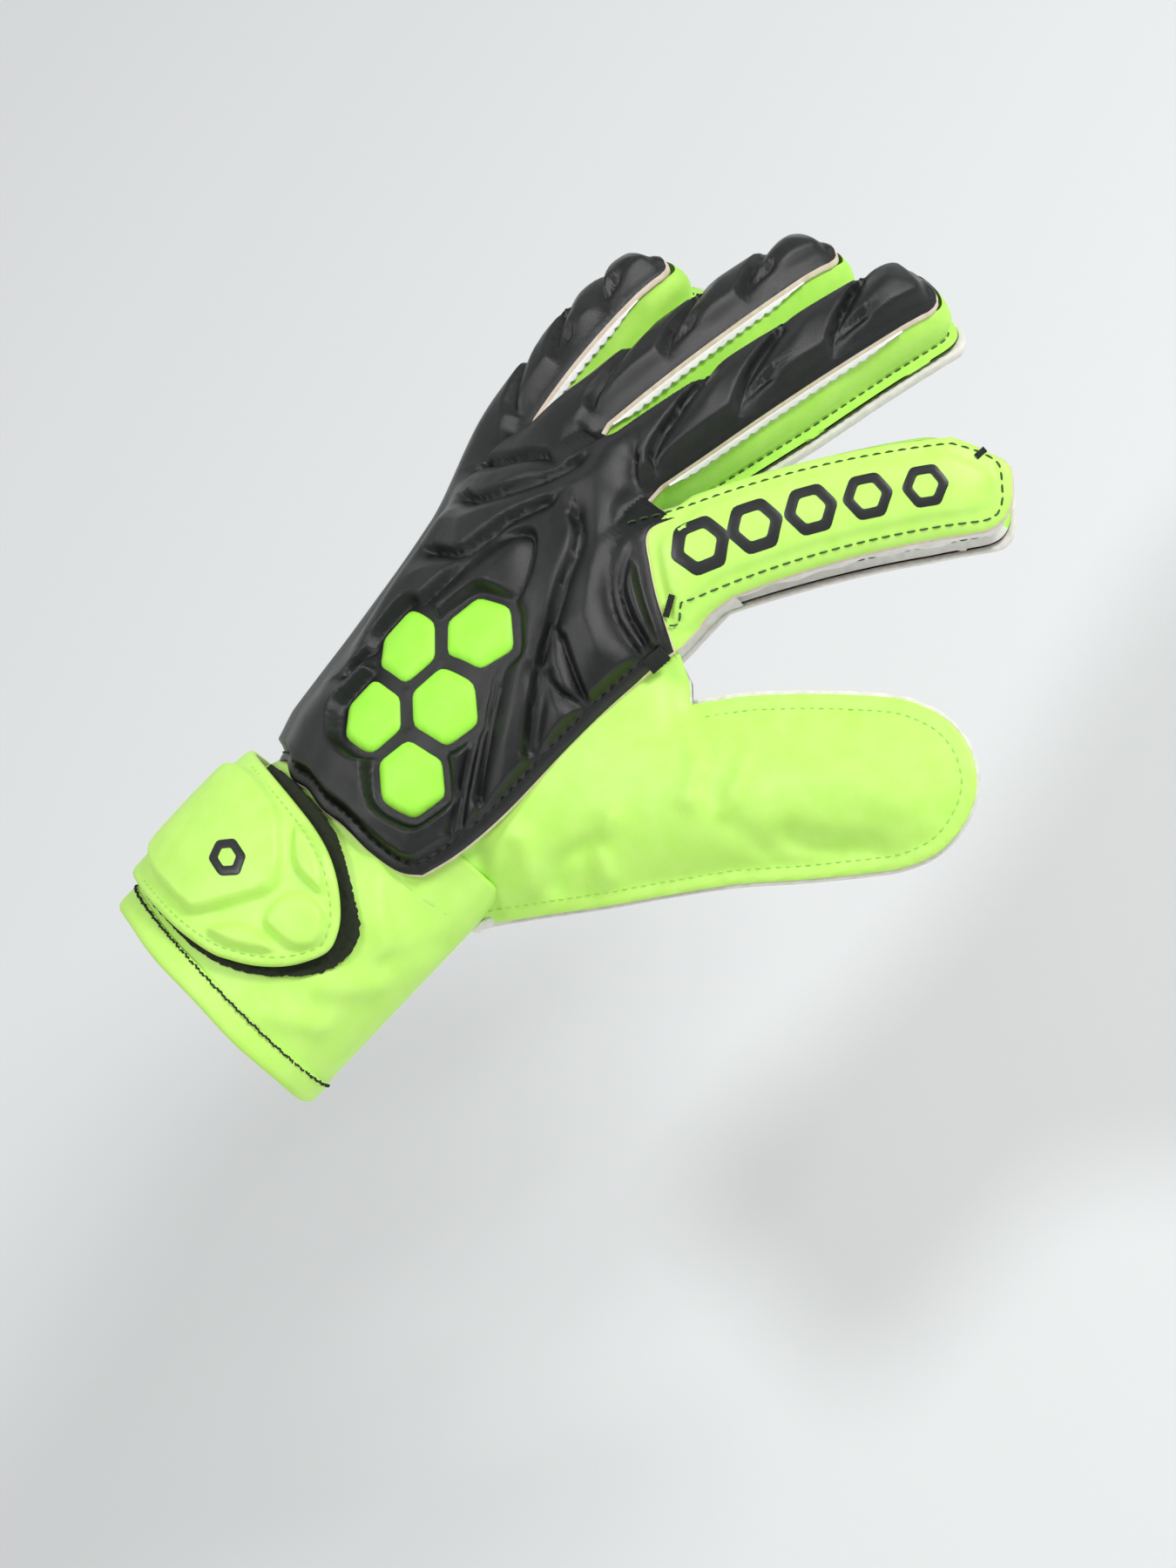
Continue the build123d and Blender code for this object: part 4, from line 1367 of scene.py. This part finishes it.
def thumb_bottom(points, depth):
    return face_point(points[:, 0], points[:, 1], thumb_height(points, depth) - 1.5)


def chart_groups(points):
    return thumb_groups(points[:, 0], points[:, 1])


thumb = Piece("thumb_sheet", [LIME])
add_sheet(thumb, THUMB_EDGE, FINE * 1.7, thumb_top, thumb_bottom, chart_groups, slots=(0, 0, 0), bead=0.25)
made = thumb.build("lime_panel")
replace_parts(made["hand"], "thenar_panel")
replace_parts(made["thumb_root"], "thumb_1_back")
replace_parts(made["thumb_top"], "thumb_2_back")

# thumb palm: the same outline a little larger, hanging below the lime sheet
LATEX_EDGE, _, latex_count = thumb_outline(0.9)
THUMB_HANG = 0.75


def latex_depth(points):
    """How far the thumb's palm hangs below the flange."""
    s, y = points[:, 0], points[:, 1]
    along = along_thumb(s, y)
    return HeightMap.sample(THUMB_MAP.swell, s, y) * THUMB_HANG + 3.0 * smooth((24 - along) / 20)


def latex_height(points):
    return HeightMap.sample(THUMB_MAP.base, points[:, 0], points[:, 1]) - 1.7 - latex_depth(points)


def latex_top(points, depth):
    return face_point(points[:, 0], points[:, 1], latex_height(points))


def latex_bottom(points, depth):
    thickness = 1.4 + 2.0 * smooth(depth / 3.0)
    return face_point(points[:, 0], points[:, 1], latex_height(points) - thickness)


latex_outline = np.concatenate([LATEX_EDGE[:latex_count], curve_through(
    [tuple(LATEX_EDGE[latex_count - 1]), (4.0, 33.0), (-2.0, 60.0), (4.0, 90.0), (10.0, 112.0),
     tuple(LATEX_EDGE[0])], 2.0)[1:-1]])
thumb_palm = Piece("thumb_palm", [LATEX])
add_sheet(thumb_palm, latex_outline, FINE * 2.2, latex_bottom, latex_top, chart_groups, slots=(0, 0, 0),
          bead=0.5)
made = thumb_palm.build("cream_latex")
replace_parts(made["thumb_root"], "thumb_1_palm")
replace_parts(made["thumb_top"], "thumb_2_palm")


# ---- web of cream fabric between thumb and index finger ---------------------------------------------
def along_curve(points, count):
    """count points evenly along a polyline."""
    points = np.asarray(points, float)
    reach = np.concatenate([[0], np.cumsum(np.linalg.norm(np.diff(points, axis=0), axis=1))])
    at = np.linspace(0, reach[-1], count)
    return np.stack([np.interp(at, reach, points[:, k]) for k in range(points.shape[1])], -1)


WEB_ROWS, WEB_COLUMNS, CORNER_COLUMNS = 9, 26, 14
index_edge = along_curve([(36.4, 152.0), (37.4, 146.0), (38.0, 141.5), (41.2, 134.0), (42.6, 129.0),
                          (41.0, 126.6)],
                         WEB_COLUMNS)
upper = place(index_edge[:, 0], index_edge[:, 1],
              back_height(index_edge[:, 0], index_edge[:, 1], INDEX_RAY) - FOAM + 0.4, INDEX_RAY)
corner = THUMB_EDGE[0]
tab = np.array([9.0, 121.5])
corner_edge = along_curve([tuple(tab), (14.5, 119.6), tuple(corner + (0.3, 0.3))], CORNER_COLUMNS)
corner_upper = face_point(corner_edge[:, 0], corner_edge[:, 1],
                          HeightMap.sample(THUMB_MAP.base, corner_edge[:, 0], corner_edge[:, 1]) - 0.7)
upper = np.concatenate([upper, corner_upper])
low_q = np.concatenate([np.linspace(152, 126, WEB_COLUMNS), np.linspace(125, 104, CORNER_COLUMNS)])
low_p = np.interp(low_q, *PALM_RADIAL) - 0.2
lower = palm_point(np.stack([low_p, low_q], -1), PALM_THICK * 0.4, PALM_EDGE - 1.0, PALM_EDGE - 3.0)
web_rows = []
for t in np.linspace(0, 1, WEB_ROWS):
    row = upper * (1 - t) + lower * t
    count = np.arange(len(row))
    hollow = (2.6 + 0.35 * np.sin(count * 0.9 + 4 * t)) * sin(pi * t) * (1
                                                                         - 0.8 * smooth((count - 30) / 10))
    web_rows.append(row - hollow[:, None] * SIDE * 0.8)
web_grid = np.stack(web_rows)
web = Piece("crotch_web", [LATEX])
web_labels = [("index", "base")] * (WEB_COLUMNS - 1) + ["hand"] * CORNER_COLUMNS
add_shell(web, web_grid, web_grid - SIDE * 1.1, [web_labels] * (WEB_ROWS - 1))
web.build("cream_latex")

# ---- cuff --------------------------------------------------------------------------------------------
SLEEVE_FROM, SLEEVE_TO = -33.0, 213.0
HEM_END, SLEEVE_END = -33.0, 44.0
STITCH_Y = -26.4
CUFF_FOLDS = [((14, -14), (34, -20), 1.5, 4.0), ((6, 4), (28, -6), 1.5, 4.5),
              ((18, 12), (48, 27), 1.3, 3.5),
              ((150, 20), (170, -16), 0.8, 6.0), ((-12, 22), (12, 12), -0.7, 4.0)]
DEGREE_MM = 0.66  # length of one degree round the sleeve, about


def cuff_folds(degrees, y):
    points = np.stack([np.ravel(degrees) * DEGREE_MM, np.ravel(y)], -1)
    out = np.zeros(len(points))
    for (a, ya), (b, yb), height, width in CUFF_FOLDS:
        line = np.array([(a * DEGREE_MM, ya), (b * DEGREE_MM, yb)])
        out += height * np.exp(-(distance_to(points, [line]) / width) ** 2)
    return out.reshape(np.shape(degrees))


def sleeve_grid(first, last, columns, ys, grow, folds=True):
    degrees, y = np.meshgrid(np.linspace(first, last, columns), ys)
    out = grow + (cuff_folds(degrees, y) if folds else 0)
    far_side = smooth((degrees - 152) / 14)
    y = y - 0.65 * np.maximum(y - 24, 0) * far_side
    out = out - 7.5 * smooth((y - 24) / 7) * far_side
    return cuff_point(np.radians(degrees), y, out)


ys = np.linspace(HEM_END + 2.0, SLEEVE_END, 60)
sleeve = Piece("cuff_sleeve", [LIME, BEIGE])
add_shell(sleeve, sleeve_grid(SLEEVE_FROM, SLEEVE_TO, 190, ys, 0.0),
          sleeve_grid(SLEEVE_FROM, SLEEVE_TO, 190, ys, -1.4), "wrist")
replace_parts(sleeve.build("lime_cuff")["wrist"], "cuff_back")

elastic_ys = np.linspace(-30.5, 31.5, 52)
degrees, y = np.meshgrid(np.linspace(SLEEVE_TO - 2.5, 360 + SLEEVE_FROM + 2.5, 220), elastic_ys)
ribs = 0.55 * np.sin(np.radians(degrees) * 78) + 0.35 * np.sin(y * 1.35
                                                               + 0.8 * np.sin(np.radians(degrees) * 9))
elastic = Piece("wrist_elastic", [ELASTIC])
tuck = 0.9 * smooth((y - 24) / 6)
add_shell(elastic, cuff_point(np.radians(degrees), y, ribs - 1.6 - tuck),
          cuff_point(np.radians(degrees), y, -3.2 - tuck), "wrist")
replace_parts(elastic.build("black_elastic")["wrist"], "cuff_elastic")

turn = np.radians(np.linspace(0, 360, 161)[:-1])
HEM_OUTER = [(-25.6, 0.15), (-26.0, 0.55), (-28.0, 0.75), (-31.0, 0.8), (-32.6, 0.6), (-33.4, -0.2),
             (-33.6, -1.2)]
HEM_INNER = [(-25.8, -2.6), (-26.2, -2.9), (-28.0, -3.0), (-31.0, -3.0), (-32.6, -2.7), (-33.3, -2.0),
             (-33.5, -1.5)]


def ring_grid(profile, wave=0.0):
    return np.stack([cuff_point(turn, y + wave * np.sin(turn * 7), grow + wave * np.sin(turn * 5 + 1))
                     for y, grow in profile])


hem = Piece("cuff_hem", [LIME])
add_shell(hem, ring_grid(HEM_OUTER, 0.22), ring_grid(HEM_INNER, 0.22), "cuff", wrap=True)
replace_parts(hem.build("lime_cuff")["cuff"], "hem_binding")

lining = Piece("wrist_lining", [WHITE])
lining_profile = [(v, -3.6 - 1.4 * smooth((v - 18) / 10)) for v in np.linspace(-29.5, 34, 40)]
add_shell(lining, ring_grid([(v, g + 0.7) for v, g in lining_profile], 0.1), ring_grid(lining_profile, 0.1),
          "wrist",
          wrap=True)
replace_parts(lining.build("cream_lining")["wrist"], "cuff_lining")

# ---- strap --------------------------------------------------------------------------------------------
# outlines round the cuff: (degrees, along the arm)
STRAP_ROOT = 176.0
STRAP_EDGE = [(119.0, 23.2), (104.8, 23.2), (89.3, 22.9), (74.3, 22.0), (63.0, 20.0), (53.2, 16.4),
              (44.6, 11.4),
              (39.8, 6.9), (37.6, 2.0), (40.4, -3.4), (46.0, -9.2), (54.0, -14.4), (62.4, -18.1),
              (70.2, -20.6),
              (85.3, -22.7), (101.3, -23.5), (119.0, -23.8)]
LOOP_EDGE = [(122.5, 24.6), (108.0, 25.8), (93.4, 26.3), (74.8, 25.4), (60.1, 22.2), (47.7, 17.7),
             (34.9, 12.3),
             (29.9, 7.3), (29.6, 1.6), (34.9, -5.8), (49.8, -15.2), (61.4, -19.8), (80.0, -23.4),
             (122.5, -24.4)]
BIG_PAD = [(134.0, 15.0), (128.0, 18.5), (112.1, 20.9), (95.2, 20.6), (84.5, 18.8), (78.0, 15.0),
           (70.7, 9.8),
           (67.4, 2.5), (74.5, -8.1), (82.8, -16.6), (89.0, -18.0), (96.3, -18.4), (114.0, -18.6),
           (130.0, -16.0),
           (135.0, -10.0), (136.0, 4.0)]
SMALL_PADS = [[(79.5, 20.0), (69.7, 20.6), (59.5, 17.2), (53.6, 12.6), (55.3, 11.0), (65.7, 10.9),
               (73.0, 13.9)],
              [(63.0, 5.4), (56.6, 9.0), (48.9, 9.2), (42.6, 4.8), (42.6, -0.5), (47.6, -4.3), (55.0, -5.3),
               (62.0, -5.2), (64.4, -0.3)],
              [(76.2, -16.9), (69.2, -10.2), (60.4, -6.9), (51.9, -7.3), (53.9, -10.4), (62.3, -14.8),
               (70.3, -17.2)]]
STRAP_UNDER, STRAP_THICK = 2.6, 2.2


def round_chart(points):
    """(degrees, along) to a chart in millimetres."""
    return np.asarray(points, float) * (DEGREE_MM, 1.0)


def strap_base(degrees):
    return 0.9 + (STRAP_UNDER - 0.9) * smooth((STRAP_ROOT - 6 - degrees) / 25)


strap_outline = np.concatenate([
    curve_through(round_chart(STRAP_EDGE), 1.0),
    resample(round_chart([(119.0, -23.8), (STRAP_ROOT, -23.8), (STRAP_ROOT, 22.6), (119.0, 23.2)]), 1.2)[1:
                                                                                                         -1]])
big_pad = curve_through(round_chart(BIG_PAD), 0.8, closed=True)
small_pads = [curve_through(round_chart(pad), 0.8, closed=True) for pad in SMALL_PADS]


def strap_lift(points, depth):
    """How far the strap's face stands out: a large pad, three small ones, and a flat stitched border."""
    out = -0.5 * np.exp(-(depth / 0.8) ** 2)
    within = depth_in(points, big_pad) * inside(points, big_pad)
    out = out + 3.0 * smooth(within / 2.2) ** 0.8 + 1.2 * smooth(within / 12)
    for pad in small_pads:
        within = depth_in(points, pad) * inside(points, pad)
        out = out + 2.2 * smooth(within / 1.9) ** 0.8 + 0.6 * smooth(within / 5)
    return out


def strap_point(points, lift):
    degrees = points[:, 0] / DEGREE_MM
    return cuff_point(np.radians(degrees), points[:, 1], strap_base(degrees) + lift + sleeve_tuck(
        np.radians(degrees), points[:, 1]) * 0.75)


strap = Piece("strap_face", [LIME, BEIGE])
add_sheet(strap, strap_outline, FINE, lambda pts, d: strap_point(pts, STRAP_THICK + strap_lift(pts, d)),
          lambda pts, d: strap_point(pts, 0.0), lambda pts: ["strap_flap"] * len(pts), slots=(0, 0, 1),
          bead=0.3)
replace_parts(strap.build("lime_strap")["strap_flap"], "strap")


def ragged(outline, amount, rng):
    """Outline with its points pushed about, for the frayed edge of a pile."""
    way = unit(np.roll(outline, -1, axis=0) - np.roll(outline, 1, axis=0))
    return outline + np.stack([way[:, 1], -way[:, 0]], -1) * rng.normal(0, amount, (len(outline), 1))


loop_rng = np.random.default_rng(11)
loop_outline = np.concatenate([
    curve_through(round_chart(LOOP_EDGE), 0.7),
    resample(round_chart([(122.5, -24.4), (122.5, 24.6)]), 1.0)[1:-1]])
loop_outline = ragged(loop_outline, 0.16, loop_rng)


def loop_top(points, depth):
    degrees = points[:, 0] / DEGREE_MM
    pile = 1.25 + loop_rng.normal(0, 0.22, len(points)) * smooth(depth / 0.5)
    return cuff_point(np.radians(degrees), points[:, 1], pile
                      + sleeve_tuck(np.radians(degrees), points[:, 1]) * 0.6)


def loop_bottom(points, depth):
    degrees = points[:, 0] / DEGREE_MM
    return cuff_point(np.radians(degrees), points[:, 1], 0.0)


loop = Piece("loop_pile", [LOOP])
add_sheet(loop, loop_outline, 0.9, loop_top, loop_bottom,
          lambda pts: ["cuff"] * len(pts),
          slots=(0, 0, 0), bead=0.2)
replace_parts(loop.build("black_loop")["cuff"], "loop_patch")

hook_outline = curve_through(round_chart([(98, 17.5), (75, 17), (58, 12.5), (46, 6), (45, -1), (54, -8.5),
                                          (68, -14.5),
                                          (98, -17)]), 1.2, closed=True)
hook_rng = np.random.default_rng(12)
hook = Piece("hook_tape", [BLACK_THREAD])
add_sheet(hook, hook_outline, 1.3, lambda pts, d: strap_point(pts, -0.05),
          lambda pts, d: strap_point(pts, -0.85 + hook_rng.normal(0, 0.08, len(pts))),
          lambda pts: ["strap_flap"] * len(pts), slots=(0, 0, 0), bead=0.1)
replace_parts(hook.build("black_hook")["strap_flap"], "hook_patch")


# ---- prints, stitches and trims ------------------------------------------------------------------------
LIME_THREAD = new_material("lime_thread", (0.44, 0.82, 0.13), 0.65,
                           knitted((0.41, 0.79, 0.11), (0.48, 0.86, 0.16), 3.0))
PRINT_RINGS = 5
PRINT_FROM, PRINT_TO, PRINT_LIFT = 147.5, 209.0, 0.14


def ring_print(piece, surface, centre, radius, hole, turn, label, columns=42):
    """A flat hexagon ring laid on a surface."""
    outer = along_curve(closed_line(hexagon(centre, radius, turn)), columns + 1)
    inner = centre + (outer - centre) * hole
    rows = [inner[:-1] * (1 - t) + outer[:-1] * t for t in (0, 0.5, 1)]
    grid = np.stack([surface(row, PRINT_LIFT) for row in rows])
    under = np.stack([surface(row, -0.25) for row in rows])
    add_shell(piece, grid, under, label, wrap=True)


def index_surface(points, lift):
    depth = depth_in(points, INDEX_OUTLINE)
    return on_back(points, index_lift(points, depth) - INDEX_SINK + lift, INDEX_RAY)


index_print = Piece("index_print", [PRINT])
for k in range(PRINT_RINGS):
    share = k / (PRINT_RINGS - 1)
    q = PRINT_FROM + (PRINT_TO - PRINT_FROM) * share
    size = 8.6 - 2.2 * share
    label = finger_groups(np.array([24.0]), np.array([q]), INDEX_RAY)[0]
    ring_print(index_print, index_surface, np.array([22.3 + 0.6 * share, q]), size, 0.56, radians(30),
               label)
index_print.build("lime_panel")


def strap_surface(points, lift):
    depth = depth_in(points, strap_outline)
    return strap_point(points, STRAP_THICK + strap_lift(points, depth) + lift)


strap_print = Piece("strap_print", [PRINT])
ring_print(strap_print, strap_surface, round_chart([(86.0, 0.5)])[0], 5.2, 0.5, radians(10), "strap_flap")
strap_print.build("lime_strap")


def offset_path(path, distance):
    """Open 2-D path moved sideways, to the left of its way when distance is positive."""
    way = unit(np.gradient(path, axis=0))
    return path + np.stack([-way[:, 1], way[:, 0]], -1) * distance


def surface_normals(surface, path):
    step = 0.4
    a = surface(path + (step, 0), 0) - surface(path - (step, 0), 0)
    b = surface(path + (0, step), 0) - surface(path - (0, step), 0)
    return unit(np.cross(a, b))


def stitch_on(piece, surface, path, labels, up, **kwargs):
    """Stitches along a path in a chart. up is a direction roughly out of the surface."""
    points = surface(path, 0)
    normals = surface_normals(surface, path)
    flip = np.sign((normals * up).sum(-1, keepdims=True))
    add_dashes(piece, points, normals * np.where(flip == 0, 1, flip), labels, **kwargs)


# index panel: one green line round the finger
index_path = finger_outline(INDEX_RAY, PANEL_HALF["index"] - 2.7, 134.0, PANEL_REACH["index"] - 2.7)
index_path = np.concatenate([along_curve([(37.5, 130.2), (38.6, 133.0), tuple(index_path[2])], 6)[:-1],
                             index_path[2:]])
green = Piece("index_stitches", [THREAD])
stitch_on(green, index_surface, index_path, finger_groups(index_path[:, 0], index_path[:, 1], INDEX_RAY),
          FACE)
green.build("lime_panel")

# finger walls: a green line just above the palm's edge
for ray in RAYS:
    rows, grid = finger_walls[ray.name]
    plan = (rows[WALL_ROWS - 1][0] + rows[WALL_ROWS][0]) / 2
    keep = plan[:, 1] > web_of(ray) - (8 if ray.name != "index" else 3)
    path3 = ((grid[WALL_ROWS - 1] + grid[WALL_ROWS]) / 2)[keep]
    normal3 = grid_normals(grid)[WALL_ROWS][keep]
    centre = place(ray.centre(plan[:, 1]), plan[:, 1], -4.0, ray)[keep]
    normal3 = normal3 * np.sign(((path3 - centre) * normal3).sum(-1, keepdims=True) + 1e-9)
    labels = finger_groups(plan[keep][:, 0], plan[keep][:, 1], ray)
    seam = Piece(f"{ray.name}_stitches", [THREAD])
    add_dashes(seam, path3, normal3, labels, dash=1.9, gap=1.2, radius=0.24)
    seam.build("lime_gusset")


def black_surface(points, lift):
    depth = depth_in(points, BLACK_OUTLINE)
    return on_back(points, black_emboss(points, depth) + lift)


border = curve_through(PANEL_BOTTOM + PANEL_SIDE + [INDEX_BORDER[0]], 1.0)
border = offset_path(border, 2.7)[3:-3]
black_line = Piece("backhand_stitches", [BLACK_THREAD])
stitch_on(black_line, black_surface, border, pattern_groups(border), FACE, dash=2.0, gap=1.2, radius=0.26)
black_line.build("black_backhand")


def chart_surface(points, lift):
    depth = depth_in(points, THUMB_EDGE)
    return face_point(points[:, 0], points[:, 1], thumb_height(points, depth) + lift)


thumb_path = offset_path(THUMB_EDGE[:VISIBLE_COUNT], -3.5)[3:-1]
lime_line = Piece("thumb_stitches", [LIME_THREAD])
stitch_on(lime_line, chart_surface, thumb_path, chart_groups(thumb_path), FACE, dash=1.7, gap=1.1,
          radius=0.2)
lime_line.build("lime_panel")

strap_path = offset_path(curve_through(round_chart(STRAP_EDGE), 1.0), 2.2)
strap_line = Piece("strap_stitches", [LIME_THREAD])
stitch_on(strap_line, strap_surface, strap_path, "strap_flap", np.array([0.3, 0, 1.0]), dash=1.7, gap=1.1,
          radius=0.2)
strap_line.build("lime_strap")

hem_degrees = np.linspace(SLEEVE_FROM + 4, SLEEVE_TO - 4, 420)
hem_wave = STITCH_Y + 0.28 * np.sin(hem_degrees * 2.9) + 0.15 * np.sin(hem_degrees * 0.9)
hem_points = cuff_point(np.radians(hem_degrees), hem_wave, 0.75)
hem_normals = unit(hem_points - np.stack([0 * hem_wave, hem_wave, 0 * hem_wave + CUFF_Z], -1))
hem_line = Piece("hem_stitches", [BLACK_THREAD])
add_dashes(hem_line, hem_points, hem_normals, "cuff", dash=2.6, gap=0.35, radius=0.3)
hem_line.build("lime_cuff")

# scalloped white edge under the back panels of the three black fingers
for ray in RAYS[:3]:
    scallop = Piece(f"{ray.name}_scallop", [WHITE])
    for hand in (1, -1):
        start = web_of(ray) + 4 if hand == 1 else WEBS[max(RAYS.index(ray) - 1, 0)] + 4
        q = np.linspace(start, ray.tip_q - 15, 130)
        middle = ray.centre(q) + PANEL_SHIFT[ray.name]
        p = middle + hand * (panel_half(ray)(q) + 0.1)
        top_h = back_height(middle + hand * (panel_half(ray)(q) - 0.8), q, ray) - FOAM + 0.5
        ends = smooth((q - start) / 8) * smooth((ray.tip_q - 15 - q) / 14)
        wave = 0.3 + (0.8 + 0.8 * np.abs(np.sin((q - start) * pi / 3.3))) * ends
        rows = []
        for t in np.linspace(0, 1, 4):
            rows.append(place(p + hand * (0.15 + 0.75 * t), q, top_h - wave * t, ray))
        grid = np.stack(rows)
        inner = np.stack([place(p + hand * (0.15 + 0.75 * t) - hand * 0.7, q, top_h - wave * t, ray)
                          for t in np.linspace(0, 1, 4)])
        labels = finger_groups(p[:-1], q[:-1], ray)
        add_shell(scallop, grid, inner, [labels] * 3)
    scallop.build("cream_latex")


def tack(piece, path, width, label, slot=0):
    """A bar tack: short threads packed side by side across a path."""
    path = np.asarray(path, float)
    way = unit(path[-1] - path[0])
    across = unit(np.cross(way, FACE))
    for k, at in enumerate(np.linspace(0, 1, max(3, int(np.linalg.norm(path[-1] - path[0]) / 0.5)))):
        middle = path[0] * (1 - at) + path[-1] * at
        reach = width / 2 * (1 + 0.12 * sin(3.1 * k))
        line = [middle - across * reach, middle + FACE * 0.25, middle + across * reach]
        add_tube(piece, line, 0.33, label, slot)


tacks = Piece("bar_tacks", [BLACK_THREAD])
spot = index_surface(np.array([(35.2, 131.0), (31.5, 135.0)]), 0.35)
tack(tacks, spot, 1.6, ("index", "base"))
tip_q = INDEX_RAY.tip_q + PANEL_REACH["index"]
spot = INDEX_RAY.centre(tip_q) - 8.0
spot = index_surface(np.array([(spot, tip_q - 8.5), (spot - 2.0, tip_q - 6.5)]), 0.3)
tack(tacks, spot, 1.5, ("index", "end"))
spot = np.array([(44.4, 119.0), (43.6, 125.5)])
tack(tacks, place(*spot.T, back_height(*spot.T) + 0.9), 4.4, "hand")
tacks.build("black_backhand")


# ---- floor, light and camera ---------------------------------------------------------------------
FLOOR_Z = -0.2
bpy.ops.mesh.primitive_plane_add(size=40, location=(0, 0, FLOOR_Z))
floor = bpy.context.object
floor.name = "floor"
floor.data.materials.append(new_material("pale_floor", (0.80, 0.82, 0.825), 0.95))
floor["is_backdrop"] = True


def area_light(name, place_m, target_m, size, power, colour=(1, 1, 1)):
    light = bpy.data.lights.new(name, "AREA")
    light.shape, light.size, light.energy, light.color = "DISK", size, power, colour
    lamp = bpy.data.objects.new(name, light)
    lamp.location = place_m
    lamp.rotation_euler = (Vector(target_m) - Vector(place_m)).to_track_quat("-Z", "Y").to_euler()
    bpy.context.scene.collection.objects.link(lamp)


world = bpy.data.worlds.new("studio")
bpy.context.scene.world = world
world.use_nodes = True
world.node_tree.nodes["Background"].inputs["Color"].default_value = (1, 1, 1, 1)
world.node_tree.nodes["Background"].inputs["Strength"].default_value = 0.52

CAMERA_TARGET = np.array([20.0, 105.0, 30.0]) * MM
CAMERA_DISTANCE, CAMERA_TURN = 1.25, radians(46.5)
CAMERA_SHIFT = (-9.6 / 1800, -133.1 / 1800)  # of the picture's height
SENSOR, LENS = 36.0, 106.25
cross = np.cross(FACE, AHEAD)
right = cos(CAMERA_TURN) * AHEAD - sin(CAMERA_TURN) * cross
up = sin(CAMERA_TURN) * AHEAD + cos(CAMERA_TURN) * cross
GLOVE_MIDDLE = np.array([10.0, 100.0, 30.0]) * MM
# distance towards the camera, to the picture's right and up, size in metres and power in watts
for name, out, to_right, to_top, size, power in (("key", 0.85, 0.45, 0.85, 0.35, 9),
                                                 ("left", 0.8, -1.0, 0.45, 0.3, 5.5),
                                                 ("low", 0.8, 0.5, -0.9, 0.5, 2.5)):
    area_light(name, GLOVE_MIDDLE + out * FACE + to_right * right + to_top * up, GLOVE_MIDDLE, size, power)
camera_data = bpy.data.cameras.new("camera")
camera_data.sensor_fit, camera_data.sensor_height, camera_data.lens = "VERTICAL", SENSOR, LENS
camera_data.shift_x, camera_data.shift_y = CAMERA_SHIFT
camera = bpy.data.objects.new("camera", camera_data)
camera.matrix_world = Matrix([(right[i], up[i], FACE[i], CAMERA_TARGET[i] + FACE[i] * CAMERA_DISTANCE)
                              for i in range(3)] + [(0, 0, 0, 1)])
bpy.context.scene.collection.objects.link(camera)
bpy.context.scene.camera = camera
bpy.context.scene.view_settings.view_transform = "Standard"

size = {"cad": [list(map(float, corner)) for corner in CAD_BOX], "built": [list(map(float, corner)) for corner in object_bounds()]}
